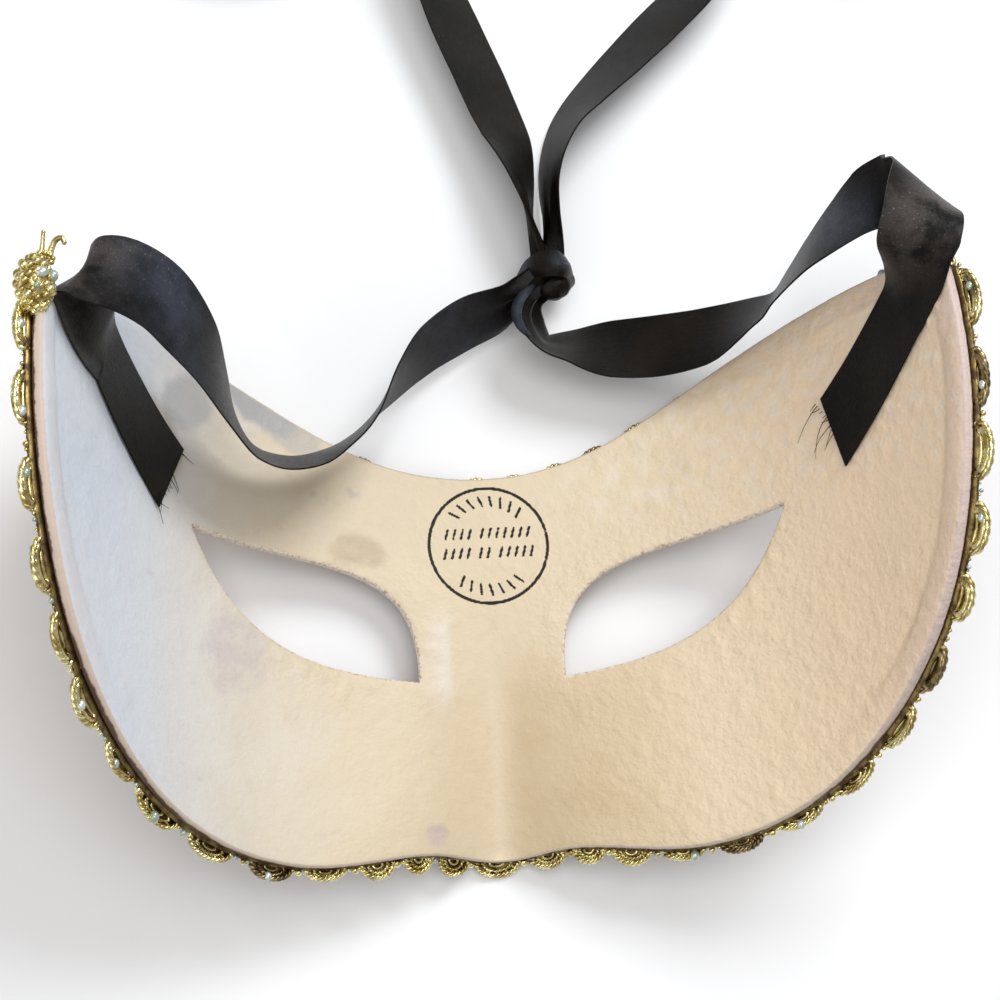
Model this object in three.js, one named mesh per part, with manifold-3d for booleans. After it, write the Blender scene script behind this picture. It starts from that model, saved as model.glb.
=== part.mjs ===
// A half mask of papier-mache lying on its painted face, its hollow inside up, with a gold braid
// glued round the edge, a gold bead ornament at one temple point, and two satin ribbons glued
// inside the temple points and tied together in one knot above the brow.
// Millimetres, Z up. X runs along the mask's width and Y from the nose to the brow.

import * as THREE from 'three';
import { mergeVertices } from 'three/addons/utils/BufferGeometryUtils.js';
import Module from 'manifold-3d';

const wasm = await Module();
wasm.setup();

// The shell's cross-section: flat over the brow, then bending up into the two side walls.
const WALL_ANGLE = THREE.MathUtils.degToRad(74.2);
const BEND_REACH = 80;
const BEND_START = 1.6;
const BEND_END = 6;
const SECTION_STEP = 0.5;
const SECTION_REACH = 150;

// The lie of the shell on the floor, and the hollow of the nose.
const BROW_HEIGHT = 3.9;
const BROW_Y = 33;
const FACE_SLOPE = Math.tan(THREE.MathUtils.degToRad(8));
const NOSE_DEPTH = 10.8;
const NOSE_DEEPENING = 1.3;
const NOSE_ROUNDNESS = 1.8;
const NOSE_WIDENING = 0.2;
const NOSE_TOP_Y = 14;
const NOSE_TIP_Y = -44;
const NOSE_HALF_WIDTH = 12.5;

// The shell is cut from sheet: its outline and eyes are drawn on the unrolled inner face,
// as distance along the cross-section and Y. Each row is a cubic curve of the right half.
const SHELL_THICKNESS = 2;
const TIP_Y = 56;
const TOP_EDGE = [
  [[0, 32.7], [34, 32.7], [44, 60.4], [92, 60.4]],
  [[92, 60.4], [100.5, 60.4], [108, 59], [114.3, TIP_Y]],
];
const SIDE_EDGE = [
  [[114.3, TIP_Y], [119, 33], [111, 6], [94.8, -11.3]],
];
const LOWER_EDGE = [
  [[94.8, -11.3], [85.1, -21.6], [60.3, -43.8], [34, -43.8]],
  [[34, -43.8], [27, -43.8], [21, -42.4], [14, -42.4]],
  [[14, -42.4], [9, -42.4], [5, -44.2], [0, -44.2]],
];
const EYE_UPPER = [[62.2, 21.3], [33, 14.8], [13.2, 16.5], [14.4, -8.7]];
const EYE_LOWER = [[14.4, -8.7], [32, -6.3], [49.5, -3.5], [62.2, 21.3]];
const EYE_STEPS = 16;
const EYE_CUT_MARGIN = 4;
const HALF_COLUMNS = 22;
const SHELL_ROWS = 16;
const CENTRE_CROWDING = 0.45;

// The braid: a flat strip glued under the rim, with round scallops past the edge.
const GAP = 0.3;
const BRAID_INSIDE = 5.5;
const BRAID_CROWN_AT = 0.35;
const BRAID_EDGE = 0.8;
const BRAID_SCALLOP = 2.2;
const BRAID_EDGE_THICKNESS = 0.9;
const BRAID_THICKNESS = 1.4;
const BRAID_BUMP = 1;
const BRAID_WALL_FLARE = 0.8;
const BROW_SETBACK = 1.9;
const BROW_SETBACK_REACH = [70, 96];
const BROW_FACING = [0.3, 0.7];
const SCALLOPS = 50;
const SCALLOP_SHORTEST = 0.54;
const SCALLOP_SPREAD = [5, 70];
const STEPS_PER_SCALLOP = 5;
const TURN_SMOOTHING = 5;

// The ornament at the left temple point: a bead dome and two curled wires.
const ORNAMENT_CENTRE = [-81.3, 56.9, 67.4];
const DOME_RADII = [3.7, 5.4, 4];
const WIRE_RADIUS = 0.9;
const STRAIGHT_WIRE = [[-80.6, 59.4, 68], [-80.1, 62.4, 68.8], [-79.6, 65.4, 69.6]];
const CURLED_WIRE = [[-79.2, 59.6, 68], [-78.4, 63, 68.8], [-77, 64.2, 69.2], [-76, 63, 69.4]];

// The two ribbons.
const RIBBON_WIDTH = 15;
const RIBBON_THICKNESS = 0.4;
const GLUE_GAP = 0.5;
const GLUED_LENGTH = 30;
const GLUED_STEPS = 6;
const RIBBON_STEP = 4;
const RIGHT_CUT = { at: [77.2, 32.5], heading: [0.79, 0.61] };
const LEFT_CUT = { at: [-68.6, 29.6], heading: [-0.73, 0.68] };

// Each station of a free ribbon: the middle of the band, then the direction across it.
const RIGHT_ROUTE = [
  [75.6, 53.5, 57.5, 0.20, -0.74, 0.64],
  [75.5, 55.6, 62, 0.45, -0.66, 0.60],
  [75.3, 58.4, 66.2, 0.74, -0.52, 0.42],
  [75.4, 61.1, 68.8, 0.95, -0.26, 0.12],
  [76.3, 64.3, 69.2, 0.95, -0.31, 0.05],
  [77.4, 68.1, 67.6, 0.88, -0.48, 0],
  [78.9, 71.8, 63.8, 0.75, -0.66, -0.05],
  [79.4, 73.6, 59, 0.68, -0.73, -0.07],
  [79.3, 74.8, 55, 0.61, -0.78, -0.09],
  [79.1, 75.9, 51.2, 0.57, -0.79, -0.22],
  [78.2, 76.9, 47.8, 0.41, -0.84, -0.33],
  [75.8, 76.7, 46.5, 0.23, -0.95, 0.18],
  [72.4, 75.2, 45, 0.07, -0.88, 0.47],
  [69, 73, 42, -0.06, -0.81, 0.58],
  [64, 68.5, 35.5, -0.28, -0.69, 0.67],
  [59.5, 63.6, 28.5, -0.40, -0.62, 0.68],
  [53.5, 59.8, 21.5, -0.32, -0.71, 0.62],
  [46, 57.8, 16, -0.12, -0.90, 0.42],
  [37, 57.2, 12.2, -0.10, -0.94, 0.33],
  [27.5, 57.5, 9.7, -0.15, -0.89, 0.43],
  [20, 58.6, 8.8, -0.18, -0.72, 0.67],
];
const LEFT_ROUTE = [
  [-71.0, 53.9, 49.2, 0.38, 0.67, -0.65],
  [-72.0, 57.7, 53.2, 0.44, 0.70, -0.57],
  [-74.0, 61.5, 56.1, 0.46, 0.73, -0.51],
  [-73.2, 62, 60.2, 0.36, 0.84, -0.41],
  [-67.4, 60.2, 61.2, 0.37, 0.86, -0.35],
  [-61.4, 57.2, 58.3, 0.39, 0.85, -0.34],
  [-58, 54.3, 55.4, 0.39, 0.85, -0.36],
  [-53, 48.5, 48.5, 0.24, 0.83, -0.50],
  [-49.7, 42.4, 40.5, 0.00, 0.80, -0.60],
  [-46.5, 36.4, 32.8, -0.26, 0.70, -0.66],
  [-43.6, 34, 29.2, -0.43, 0.57, -0.70],
  [-39.7, 33.1, 26, -0.51, 0.42, -0.75],
  [-35.2, 33.6, 23.3, -0.51, 0.29, -0.81],
  [-31, 35.4, 21.1, -0.48, 0.14, -0.87],
  [-26.7, 38.1, 19.4, -0.42, 0.01, -0.91],
  [-23, 41.7, 17.8, -0.33, -0.09, -0.94],
  [-17.2, 49.6, 15, -0.08, -0.28, -0.96],
  [-10.5, 57.3, 12.3, 0.10, -0.42, -0.90],
  [-1.7, 63.2, 10.6, 0.15, -0.49, -0.86],
  [6.3, 66.3, 10, 0.14, -0.48, -0.87],
];
const RIGHT_TAIL_ROUTE = [
  [17.4, 81.2, 8.2, 0.10, -0.15, 0.98],
  [17.4, 86.5, 8.2, 0.10, -0.18, 0.98],
  [17.6, 93.2, 8.1, 0.13, -0.22, 0.97],
  [18.9, 99.8, 8, 0.20, -0.23, 0.95],
  [21.6, 106, 7.9, 0.29, -0.26, 0.92],
  [25.6, 111.2, 7.5, 0.39, -0.33, 0.86],
  [34.6, 120.3, 6.9, 0.48, -0.42, 0.77],
  [43.7, 129.2, 6.6, 0.52, -0.46, 0.72],
  [52.8, 138.2, 6.8, 0.50, -0.42, 0.75],
  [60.5, 148, 7.4, 0.32, -0.18, 0.93],
  [64, 157, 8.1, 0.08, -0.02, 1],
  [64.5, 162, 8.1, 0, 0, 1],
];
const LEFT_TAIL_ROUTE = [
  [13.9, 81, 8.3, 0.16, 0.05, -0.98],
  [12.9, 87, 8.2, 0.24, 0.08, -0.97],
  [12, 92.5, 7.9, 0.38, 0.14, -0.91],
  [11, 98.5, 7.2, 0.54, 0.21, -0.81],
  [9.4, 105, 6.3, 0.70, 0.28, -0.66],
  [7.2, 111, 6, 0.74, 0.29, -0.61],
  [4.5, 118.5, 5.9, 0.75, 0.29, -0.59],
  [1.4, 126.5, 5.9, 0.75, 0.29, -0.59],
  [-2.2, 136.5, 6.1, 0.72, 0.26, -0.64],
  [-6.4, 148, 7, 0.45, 0.12, -0.88],
  [-8.6, 157, 8.1, 0.10, 0.02, -1],
  [-9, 162, 8.1, 0, 0, -1],
];

// The knot, and the coil that each tail's end is rolled into, standing on its edge.
const KNOT_CENTRE = [15.9, 72.6, 8.2];
const KNOT_RADII = [8, 7.4, 7.6];
const LOOP_CENTRE = [12.2, 64.6, 8.2];
const LOOP_RADII = [4.6, 6, 7.4];
const COIL_OUTER = 29.5;
const COIL_INNER = 19;
const COIL_LOW = 0.3;
const COIL_HIGH = 15.9;
const RIGHT_COIL_AT = [92.5, 172];
const LEFT_COIL_AT = [-37, 172];

const ROOM = 400;

// Running sums of the cross-section's width and height along its arc.
const section = [{ x: 0, z: 0 }];
for (let s = SECTION_STEP / 2; s < SECTION_REACH; s += SECTION_STEP) {
  const t = s / BEND_REACH;
  const angle = WALL_ANGLE * t ** BEND_START / (1 + t ** BEND_END) ** (BEND_START / BEND_END);
  const last = section[section.length - 1];
  section.push({
    x: last.x + SECTION_STEP * Math.cos(angle),
    z: last.z + SECTION_STEP * Math.sin(angle),
  });
}

// A point of the unrolled sheet (s along the section, y) as a point of the inner face.
function innerPoint(s, y) {
  const place = Math.abs(s) / SECTION_STEP;
  const index = Math.floor(place);
  const part = place - index;
  const x = THREE.MathUtils.lerp(section[index].x, section[index + 1].x, part);
  const rise = THREE.MathUtils.lerp(section[index].z, section[index + 1].z, part);
  const down = Math.max(0, (NOSE_TOP_Y - y) / (NOSE_TOP_Y - NOSE_TIP_Y));
  const width = NOSE_HALF_WIDTH * (1 - NOSE_WIDENING + NOSE_WIDENING * down);
  const nose = NOSE_DEPTH * down ** NOSE_DEEPENING * Math.exp(-((x / width) ** NOSE_ROUNDNESS));
  return new THREE.Vector3(Math.sign(s) * x, y, BROW_HEIGHT + (BROW_Y - y) * FACE_SLOPE + rise - nose);
}

// The inner face's normal, pointing into the mask's hollow.
function innerNormal(s, y) {
  const reach = 0.4;
  const along = innerPoint(s + reach, y).sub(innerPoint(s - reach, y));
  const up = innerPoint(s, y + reach).sub(innerPoint(s, y - reach));
  return along.cross(up).normalize();
}

// The inner face's point moved along its normal: lift is positive into the hollow.
function facePoint(s, y, lift) {
  return innerPoint(s, y).addScaledVector(innerNormal(s, y), lift);
}

function cubicPoints(controls, steps) {
  const curve = new THREE.CubicBezierCurve(...controls.map(([s, y]) => new THREE.Vector2(s, y)));
  return curve.getPoints(steps);
}

function edgePoints(curves, steps) {
  const points = curves.flatMap((controls) => cubicPoints(controls, steps).slice(0, -1));
  const [s, y] = curves[curves.length - 1][3];
  return [...points, new THREE.Vector2(s, y)];
}

// Y on an edge at a distance s, which grows or falls steadily along the edge.
function yAt(points, s) {
  const wanted = Math.abs(s);
  for (let i = 1; i < points.length; i += 1) {
    const [a, b] = [points[i - 1], points[i]];
    if ((wanted - a.x) * (wanted - b.x) <= 0) {
      return a.y + (b.y - a.y) * (wanted - a.x) / (b.x - a.x || 1);
    }
  }
  return points[points.length - 1].y;
}

function geometryOf(points, triangles) {
  const geometry = new THREE.BufferGeometry();
  geometry.setAttribute('position', new THREE.Float32BufferAttribute(points.flatMap((p) => p.toArray()), 3));
  geometry.setIndex(triangles.flat());
  return geometry;
}

function solidOf(geometry) {
  const bare = geometry.clone();
  bare.deleteAttribute('normal');
  bare.deleteAttribute('uv');
  const merged = mergeVertices(bare, 1e-4);
  return new wasm.Manifold(new wasm.Mesh({
    numProp: 3,
    vertProperties: new Float32Array(merged.attributes.position.array),
    triVerts: new Uint32Array(merged.index.array),
  }));
}

function geometryFrom(solid) {
  const { vertProperties, triVerts } = solid.getMesh();
  const geometry = new THREE.BufferGeometry();
  geometry.setAttribute('position', new THREE.BufferAttribute(vertProperties, 3));
  geometry.setIndex(new THREE.BufferAttribute(triVerts, 1));
  return geometry;
}

// The half space above the floor, as a box that holds the whole mask.
function aboveFloor() {
  return solidOf(new THREE.BoxGeometry(ROOM, ROOM, ROOM).translate(0, 0, ROOM / 2));
}

// The shell: a net between the four edges, on both faces, joined by a strip round the rim.
// A clearance grows it on every side.
function shellSolid(clearance) {
  const grow = 1 + clearance / TIP_Y;
  const top = edgePoints(TOP_EDGE, 20);
  const lower = edgePoints(LOWER_EDGE, 20);
  const side = edgePoints(SIDE_EDGE, SHELL_ROWS);
  const [tip, corner] = [side[0], side[SHELL_ROWS]];
  const columns = 2 * HALF_COLUMNS;
  const inner = [];
  const outer = [];
  for (let row = 0; row <= SHELL_ROWS; row += 1) {
    const v = row / SHELL_ROWS;
    const edge = side[SHELL_ROWS - row];
    for (let column = 0; column <= columns; column += 1) {
      const even = column / HALF_COLUMNS - 1;
      const u = even * (1 - CENTRE_CROWDING + CENTRE_CROWDING * Math.abs(even));
      const span = Math.abs(u);
      const s = Math.sign(u) * (span * edge.x);
      const below = yAt(lower, span * corner.x);
      const above = yAt(top, span * tip.x);
      const straight = THREE.MathUtils.lerp(corner.y, tip.y, v);
      const y = THREE.MathUtils.lerp(below, above, v) + span * (edge.y - straight);
      inner.push(facePoint(s * grow, y * grow, clearance));
      outer.push(facePoint(s * grow, y * grow, -SHELL_THICKNESS - clearance));
    }
  }
  const width = columns + 1;
  const total = inner.length;
  const triangles = [];
  for (let row = 0; row < SHELL_ROWS; row += 1) {
    for (let column = 0; column < columns; column += 1) {
      const a = row * width + column;
      const [b, c, d] = [a + 1, a + width + 1, a + width];
      if (column < HALF_COLUMNS) {
        triangles.push([a, b, d], [b, c, d]);
        triangles.push([total + a, total + d, total + b], [total + b, total + d, total + c]);
      } else {
        triangles.push([a, b, c], [a, c, d]);
        triangles.push([total + a, total + c, total + b], [total + a, total + d, total + c]);
      }
    }
  }
  const rim = [];
  for (let column = 0; column < columns; column += 1) rim.push(column);
  for (let row = 0; row < SHELL_ROWS; row += 1) rim.push(row * width + columns);
  for (let column = columns; column > 0; column -= 1) rim.push(SHELL_ROWS * width + column);
  for (let row = SHELL_ROWS; row > 0; row -= 1) rim.push(row * width);
  rim.forEach((a, i) => {
    const b = rim[(i + 1) % rim.length];
    triangles.push([a, total + a, b], [b, total + a, total + b]);
  });
  return solidOf(geometryOf([...inner, ...outer], triangles));
}

// The piece taken out of the shell for one eye: a net across the eye, thick enough to pass
// through both faces.
function eyeSolid(sign) {
  const upper = cubicPoints(EYE_UPPER, EYE_STEPS);
  const lower = cubicPoints(EYE_LOWER, EYE_STEPS).reverse();
  const levels = [EYE_CUT_MARGIN, -SHELL_THICKNESS - EYE_CUT_MARGIN];
  const points = levels.flatMap((lift) => [
    ...upper.map((p) => facePoint(sign * p.x, p.y, lift)),
    ...lower.slice(1, -1).map((p) => facePoint(sign * p.x, p.y, lift)),
  ]);
  const level = points.length / 2;
  const up = (i) => i;
  const low = (i) => (i === 0 || i === EYE_STEPS ? i : EYE_STEPS + i);
  const triangles = [];
  const push = (a, b, c) => {
    if (a !== b && b !== c && a !== c) triangles.push(sign > 0 ? [a, b, c] : [a, c, b]);
  };
  for (let i = 0; i < EYE_STEPS; i += 1) {
    push(up(i), up(i + 1), low(i));
    push(up(i + 1), low(i + 1), low(i));
    push(level + up(i), level + low(i), level + up(i + 1));
    push(level + up(i + 1), level + low(i), level + low(i + 1));
    push(up(i), level + up(i), up(i + 1));
    push(up(i + 1), level + up(i), level + up(i + 1));
    push(low(i), low(i + 1), level + low(i));
    push(low(i + 1), level + low(i + 1), level + low(i));
  }
  return solidOf(geometryOf(points, triangles));
}

// The rim of the whole mask on the unrolled sheet, from the middle of the brow. Its points are
// closer together near the middle, where the braid is pushed together and its scallops are short.
function rimPoints(count) {
  const half = [...edgePoints(TOP_EDGE, 40), ...edgePoints(SIDE_EDGE, 40).slice(1),
    ...edgePoints(LOWER_EDGE, 40).slice(1)];
  const mirrored = half.slice(1, -1).reverse().map((p) => new THREE.Vector2(-p.x, p.y));
  const loop = [...half, ...mirrored, half[0]];
  const lengths = [0];
  for (let i = 1; i < loop.length; i += 1) {
    const spread = THREE.MathUtils.smoothstep(Math.abs(loop[i].x), ...SCALLOP_SPREAD);
    const stretch = THREE.MathUtils.lerp(SCALLOP_SHORTEST, 1, spread);
    lengths.push(lengths[i - 1] + loop[i].distanceTo(loop[i - 1]) / stretch);
  }
  const whole = lengths[lengths.length - 1];
  const points = [];
  let i = 1;
  for (let k = 0; k < count; k += 1) {
    const wanted = whole * k / count;
    while (lengths[i] < wanted) i += 1;
    const part = (wanted - lengths[i - 1]) / (lengths[i] - lengths[i - 1]);
    points.push(loop[i - 1].clone().lerp(loop[i], part));
  }
  return points;
}

// Unit directions out of the sheet across its rim, evened out so that the braid turns gently
// round the temple points.
function rimDirections(points) {
  const count = points.length;
  return points.map((_, k) => {
    const before = points[(k + count - TURN_SMOOTHING) % count];
    const after = points[(k + TURN_SMOOTHING) % count];
    const along = after.clone().sub(before).normalize();
    return new THREE.Vector2(-along.y, along.x);
  });
}

// How far the braid is set back along the brow, where only the tops of its scallops pass the edge.
function browSetback(p, out) {
  const facingBrow = THREE.MathUtils.smoothstep(out.y, ...BROW_FACING);
  return BROW_SETBACK * facingBrow * (1 - THREE.MathUtils.smoothstep(Math.abs(p.x), ...BROW_SETBACK_REACH));
}

// The braid as a ring of five-sided sections, grown by a clearance where a neighbour needs one.
// On the steep side walls its scallops flare away from the shell.
function braidSolid(clearance) {
  const count = SCALLOPS * STEPS_PER_SCALLOP;
  const rim = rimPoints(count);
  const out = rimDirections(rim);
  const rings = rim.map((p, k) => {
    const swell = Math.sin(Math.PI * (k / STEPS_PER_SCALLOP + 0.5)) ** 2;
    const reach = BRAID_EDGE + BRAID_SCALLOP * swell - browSetback(p, out[k]) + clearance;
    const inside = BRAID_INSIDE + clearance;
    const back = SHELL_THICKNESS + GAP - clearance;
    const normal = innerNormal(p.x, p.y);
    const flare = BRAID_WALL_FLARE * swell * (1 - normal.z);
    const edge = back + BRAID_EDGE_THICKNESS + 2 * clearance;
    const crown = back + BRAID_THICKNESS + BRAID_BUMP * swell + flare + 2 * clearance;
    const beyond = innerPoint(p.x + out[k].x, p.y + out[k].y).sub(innerPoint(p.x, p.y)).normalize();
    const rimPoint = innerPoint(p.x, p.y);
    const inward = (distance, depth) => (
      facePoint(p.x - out[k].x * distance, p.y - out[k].y * distance, -depth));
    const outward = (distance, depth) => rimPoint.clone().addScaledVector(beyond, distance)
      .addScaledVector(normal, -depth);
    return [
      inward(inside, back),
      outward(reach, back),
      outward(reach, edge + flare),
      inward(inside * BRAID_CROWN_AT, crown),
      inward(inside, edge),
    ];
  });
  const sides = rings[0].length;
  const triangles = [];
  rings.forEach((_, k) => {
    const next = (k + 1) % count;
    for (let j = 0; j < sides; j += 1) {
      const [a, b] = [k * sides + j, k * sides + (j + 1) % sides];
      const [c, d] = [next * sides + j, next * sides + (j + 1) % sides];
      triangles.push([a, c, b], [b, c, d]);
    }
  });
  return solidOf(geometryOf(rings.flat(), triangles));
}

function wireGeometry(route) {
  const curve = new THREE.CatmullRomCurve3(route.map((p) => new THREE.Vector3(...p)));
  const shape = new THREE.Shape().absarc(0, 0, WIRE_RADIUS, 0, 2 * Math.PI);
  return new THREE.ExtrudeGeometry(shape, { steps: 7, curveSegments: 4, extrudePath: curve });
}

function ornamentSolid() {
  const dome = new THREE.SphereGeometry(1, 14, 10).scale(...DOME_RADII).translate(...ORNAMENT_CENTRE);
  return solidOf(dome).add(solidOf(wireGeometry(STRAIGHT_WIRE))).add(solidOf(wireGeometry(CURLED_WIRE)));
}

// The stations of the stretch of ribbon that is glued inside a temple point.
function gluedStations({ at, heading }) {
  const [hs, hy] = heading;
  const stations = [];
  for (let i = 0; i <= GLUED_STEPS; i += 1) {
    const distance = GLUED_LENGTH * i / GLUED_STEPS;
    const [s, y] = [at[0] + hs * distance, at[1] + hy * distance];
    const lift = GLUE_GAP + RIBBON_THICKNESS / 2;
    const right = facePoint(s + hy * RIBBON_WIDTH / 2, y - hs * RIBBON_WIDTH / 2, lift);
    const left = facePoint(s - hy * RIBBON_WIDTH / 2, y + hs * RIBBON_WIDTH / 2, lift);
    stations.push({ middle: facePoint(s, y, lift), across: right.sub(left).normalize() });
  }
  return stations;
}

function routeStations(route) {
  return route.map(([x, y, z, ax, ay, az]) => ({
    middle: new THREE.Vector3(x, y, z),
    across: new THREE.Vector3(ax, ay, az).normalize(),
  }));
}

// A flat band through its stations, with a smooth curve between them.
function bandGeometry(stations) {
  const middles = new THREE.CatmullRomCurve3(stations.map((station) => station.middle), false, 'centripetal');
  const turns = new THREE.CatmullRomCurve3(stations.map((station) => station.across), false, 'centripetal');
  const lengths = stations.slice(1).map((station, i) => station.middle.distanceTo(stations[i].middle));
  const samples = [0];
  lengths.forEach((length, i) => {
    const steps = Math.max(1, Math.round(length / RIBBON_STEP));
    for (let k = 1; k <= steps; k += 1) samples.push((i + k / steps) / lengths.length);
  });
  const points = [];
  for (const t of samples) {
    const middle = middles.getPoint(t);
    const ahead = middles.getTangent(t);
    const across = turns.getPoint(t);
    across.addScaledVector(ahead, -across.dot(ahead)).normalize().multiplyScalar(RIBBON_WIDTH / 2);
    const through = across.clone().cross(ahead).normalize().multiplyScalar(RIBBON_THICKNESS / 2);
    points.push(
      middle.clone().add(across).add(through),
      middle.clone().sub(across).add(through),
      middle.clone().sub(across).sub(through),
      middle.clone().add(across).sub(through),
    );
  }
  const triangles = [[0, 1, 2], [0, 2, 3]];
  const last = points.length - 4;
  triangles.push([last, last + 2, last + 1], [last, last + 3, last + 2]);
  // Both faces of the band are split along the same diagonal, so that they never cross.
  for (let k = 0; k < last; k += 4) {
    triangles.push([k, k + 4, k + 1], [k + 1, k + 4, k + 5]);
    triangles.push([k + 1, k + 5, k + 2], [k + 2, k + 5, k + 6]);
    triangles.push([k + 2, k + 6, k + 7], [k + 2, k + 7, k + 3]);
    triangles.push([k + 3, k + 7, k], [k, k + 7, k + 4]);
  }
  return geometryOf(points, triangles);
}

function lumpSolid(centre, radii) {
  return solidOf(new THREE.SphereGeometry(1, 16, 12).scale(...radii).translate(...centre));
}

function coilGeometry([x, y]) {
  const profile = [
    [COIL_INNER, COIL_LOW], [COIL_OUTER, COIL_LOW], [COIL_OUTER, COIL_HIGH], [COIL_INNER, COIL_HIGH],
    [COIL_INNER, COIL_LOW],
  ];
  const lathe = new THREE.LatheGeometry(profile.map(([r, z]) => new THREE.Vector2(r, z)), 32);
  return lathe.rotateX(Math.PI / 2).translate(x, y, 0);
}

const papier = new THREE.MeshStandardMaterial({ color: 0xcdbba7, roughness: 0.85, metalness: 0 });
const gold = new THREE.MeshStandardMaterial({ color: 0xa88a4a, roughness: 0.38, metalness: 0.9 });
const satin = new THREE.MeshStandardMaterial({ color: 0x15131a, roughness: 0.35, metalness: 0 });

const mask = new THREE.Group();

function addPiece(name, geometry, material) {
  const mesh = new THREE.Mesh(geometry, material);
  mesh.name = name;
  mask.add(mesh);
  return mesh;
}

const floorCut = aboveFloor();
const shell = shellSolid(0).subtract(eyeSolid(1)).subtract(eyeSolid(-1));
const ornament = ornamentSolid().subtract(braidSolid(GAP)).subtract(shellSolid(GAP));
const body = [
  addPiece('mask_shell', geometryFrom(shell), papier),
  addPiece('edge_braid', geometryFrom(braidSolid(0).intersect(floorCut)), gold),
  addPiece('tip_ornament', geometryFrom(ornament), gold),
];

addPiece('ribbon_right', bandGeometry([...gluedStations(RIGHT_CUT), ...routeStations(RIGHT_ROUTE)]), satin);
addPiece('ribbon_left', bandGeometry([...gluedStations(LEFT_CUT), ...routeStations(LEFT_ROUTE)]), satin);
addPiece('ribbon_right_tail', bandGeometry(routeStations(RIGHT_TAIL_ROUTE)), satin);
addPiece('ribbon_left_tail', bandGeometry(routeStations(LEFT_TAIL_ROUTE)), satin);
addPiece('ribbon_right_coil', coilGeometry(RIGHT_COIL_AT), satin);
addPiece('ribbon_left_coil', coilGeometry(LEFT_COIL_AT), satin);
const knot = lumpSolid(KNOT_CENTRE, KNOT_RADII).add(lumpSolid(LOOP_CENTRE, LOOP_RADII));
addPiece('ribbon_knot', geometryFrom(knot), satin);

// The origin is under the middle of the mask itself, without its ribbons.
const box = new THREE.Box3();
for (const mesh of body) box.expandByObject(mesh);
const centre = box.getCenter(new THREE.Vector3());
mask.position.set(-centre.x, -centre.y, -box.min.z);
mask.updateMatrixWorld(true);

export default mask;
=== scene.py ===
import math
import random

import bpy
import numpy as np
from mathutils import Matrix, Vector, geometry, noise


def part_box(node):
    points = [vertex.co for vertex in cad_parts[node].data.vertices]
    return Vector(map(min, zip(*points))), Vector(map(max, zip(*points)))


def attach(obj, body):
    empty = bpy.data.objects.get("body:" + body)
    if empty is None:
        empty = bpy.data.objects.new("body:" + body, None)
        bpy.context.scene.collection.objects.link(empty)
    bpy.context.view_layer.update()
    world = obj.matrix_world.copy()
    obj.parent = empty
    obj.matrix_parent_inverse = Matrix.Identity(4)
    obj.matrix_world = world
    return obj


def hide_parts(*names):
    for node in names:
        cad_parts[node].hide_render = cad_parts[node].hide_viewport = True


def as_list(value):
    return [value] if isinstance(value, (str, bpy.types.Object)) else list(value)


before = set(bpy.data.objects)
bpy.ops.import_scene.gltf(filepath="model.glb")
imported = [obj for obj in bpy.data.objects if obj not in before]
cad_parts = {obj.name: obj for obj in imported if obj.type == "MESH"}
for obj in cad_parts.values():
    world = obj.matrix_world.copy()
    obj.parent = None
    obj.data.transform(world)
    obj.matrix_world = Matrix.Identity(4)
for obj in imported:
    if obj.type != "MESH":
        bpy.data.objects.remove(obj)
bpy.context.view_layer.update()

# Every length below is in millimetres, in the mask's own coordinates: X across the mask, Y from
# the nose to the brow, Z up from the floor. SHIFT brings them to the frame's origin.
MM = 0.001
SHELL_LOWEST_Y = -44.2
shell_low, shell_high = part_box("mask_shell")
SHIFT = np.array([(shell_low.x + shell_high.x) / 2 / MM, shell_low.y / MM - SHELL_LOWEST_Y, 0.0])


def to_frame(points):
    """Model millimetres as metres of the frame."""
    return (np.asarray(points, float) + SHIFT) * MM


def put_in_scene(name, data):
    made = bpy.data.objects.new(name, data)
    bpy.context.scene.collection.objects.link(made)
    return made


def facing(at, aim):
    """The place of a camera or a lamp that looks from one point to another."""
    place = Vector(to_frame(at))
    way = Vector(to_frame(aim)) - place
    return Matrix.Translation(place) @ way.to_track_quat("-Z", "Y").to_matrix().to_4x4()


# The camera

CAMERA_AT = (-44.96, -58.59, 437.48)
CAMERA_TARGET = (4.58, 29.12, -1.1)
CAMERA_ROLL = 26.721
FOCAL_PIXELS = 2200
PHOTO_PIXELS = 1000
SENSOR = 36.0

camera_data = bpy.data.cameras.new("camera")
camera_data.sensor_width = SENSOR
camera_data.lens = FOCAL_PIXELS / PHOTO_PIXELS * SENSOR
camera_data.clip_start = 0.01
camera = put_in_scene("camera", camera_data)
roll = Matrix.Rotation(math.radians(CAMERA_ROLL), 4, "Z")
camera.matrix_world = facing(CAMERA_AT, CAMERA_TARGET) @ roll
bpy.context.scene.camera = camera


# Making meshes

SHEET_SCALE = 0.01


def make_mesh(name, points, faces, material, smooth=True, sheet=None, facts=None):
    """A mesh object from model points. sheet is a place on the flat sheet for each vertex, and
    facts are named numbers for each vertex."""
    mesh = bpy.data.meshes.new(name)
    mesh.from_pydata(to_frame(points).tolist(), [], [list(map(int, f)) for f in faces])
    mesh.validate()
    if smooth:
        mesh.polygons.foreach_set("use_smooth", np.ones(len(mesh.polygons), bool))
    if sheet is not None:
        corner = np.zeros(len(mesh.loops), np.int32)
        mesh.loops.foreach_get("vertex_index", corner)
        places = np.asarray(sheet * SHEET_SCALE, np.float32)
        mesh.uv_layers.new(name="sheet").data.foreach_set("uv", places[corner].ravel())
    for key, values in (facts or {}).items():
        attribute = mesh.attributes.new(key, "FLOAT", "POINT")
        attribute.data.foreach_set("value", np.asarray(values, np.float32))
    mesh.materials.append(material)
    return put_in_scene(name, mesh)


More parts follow.
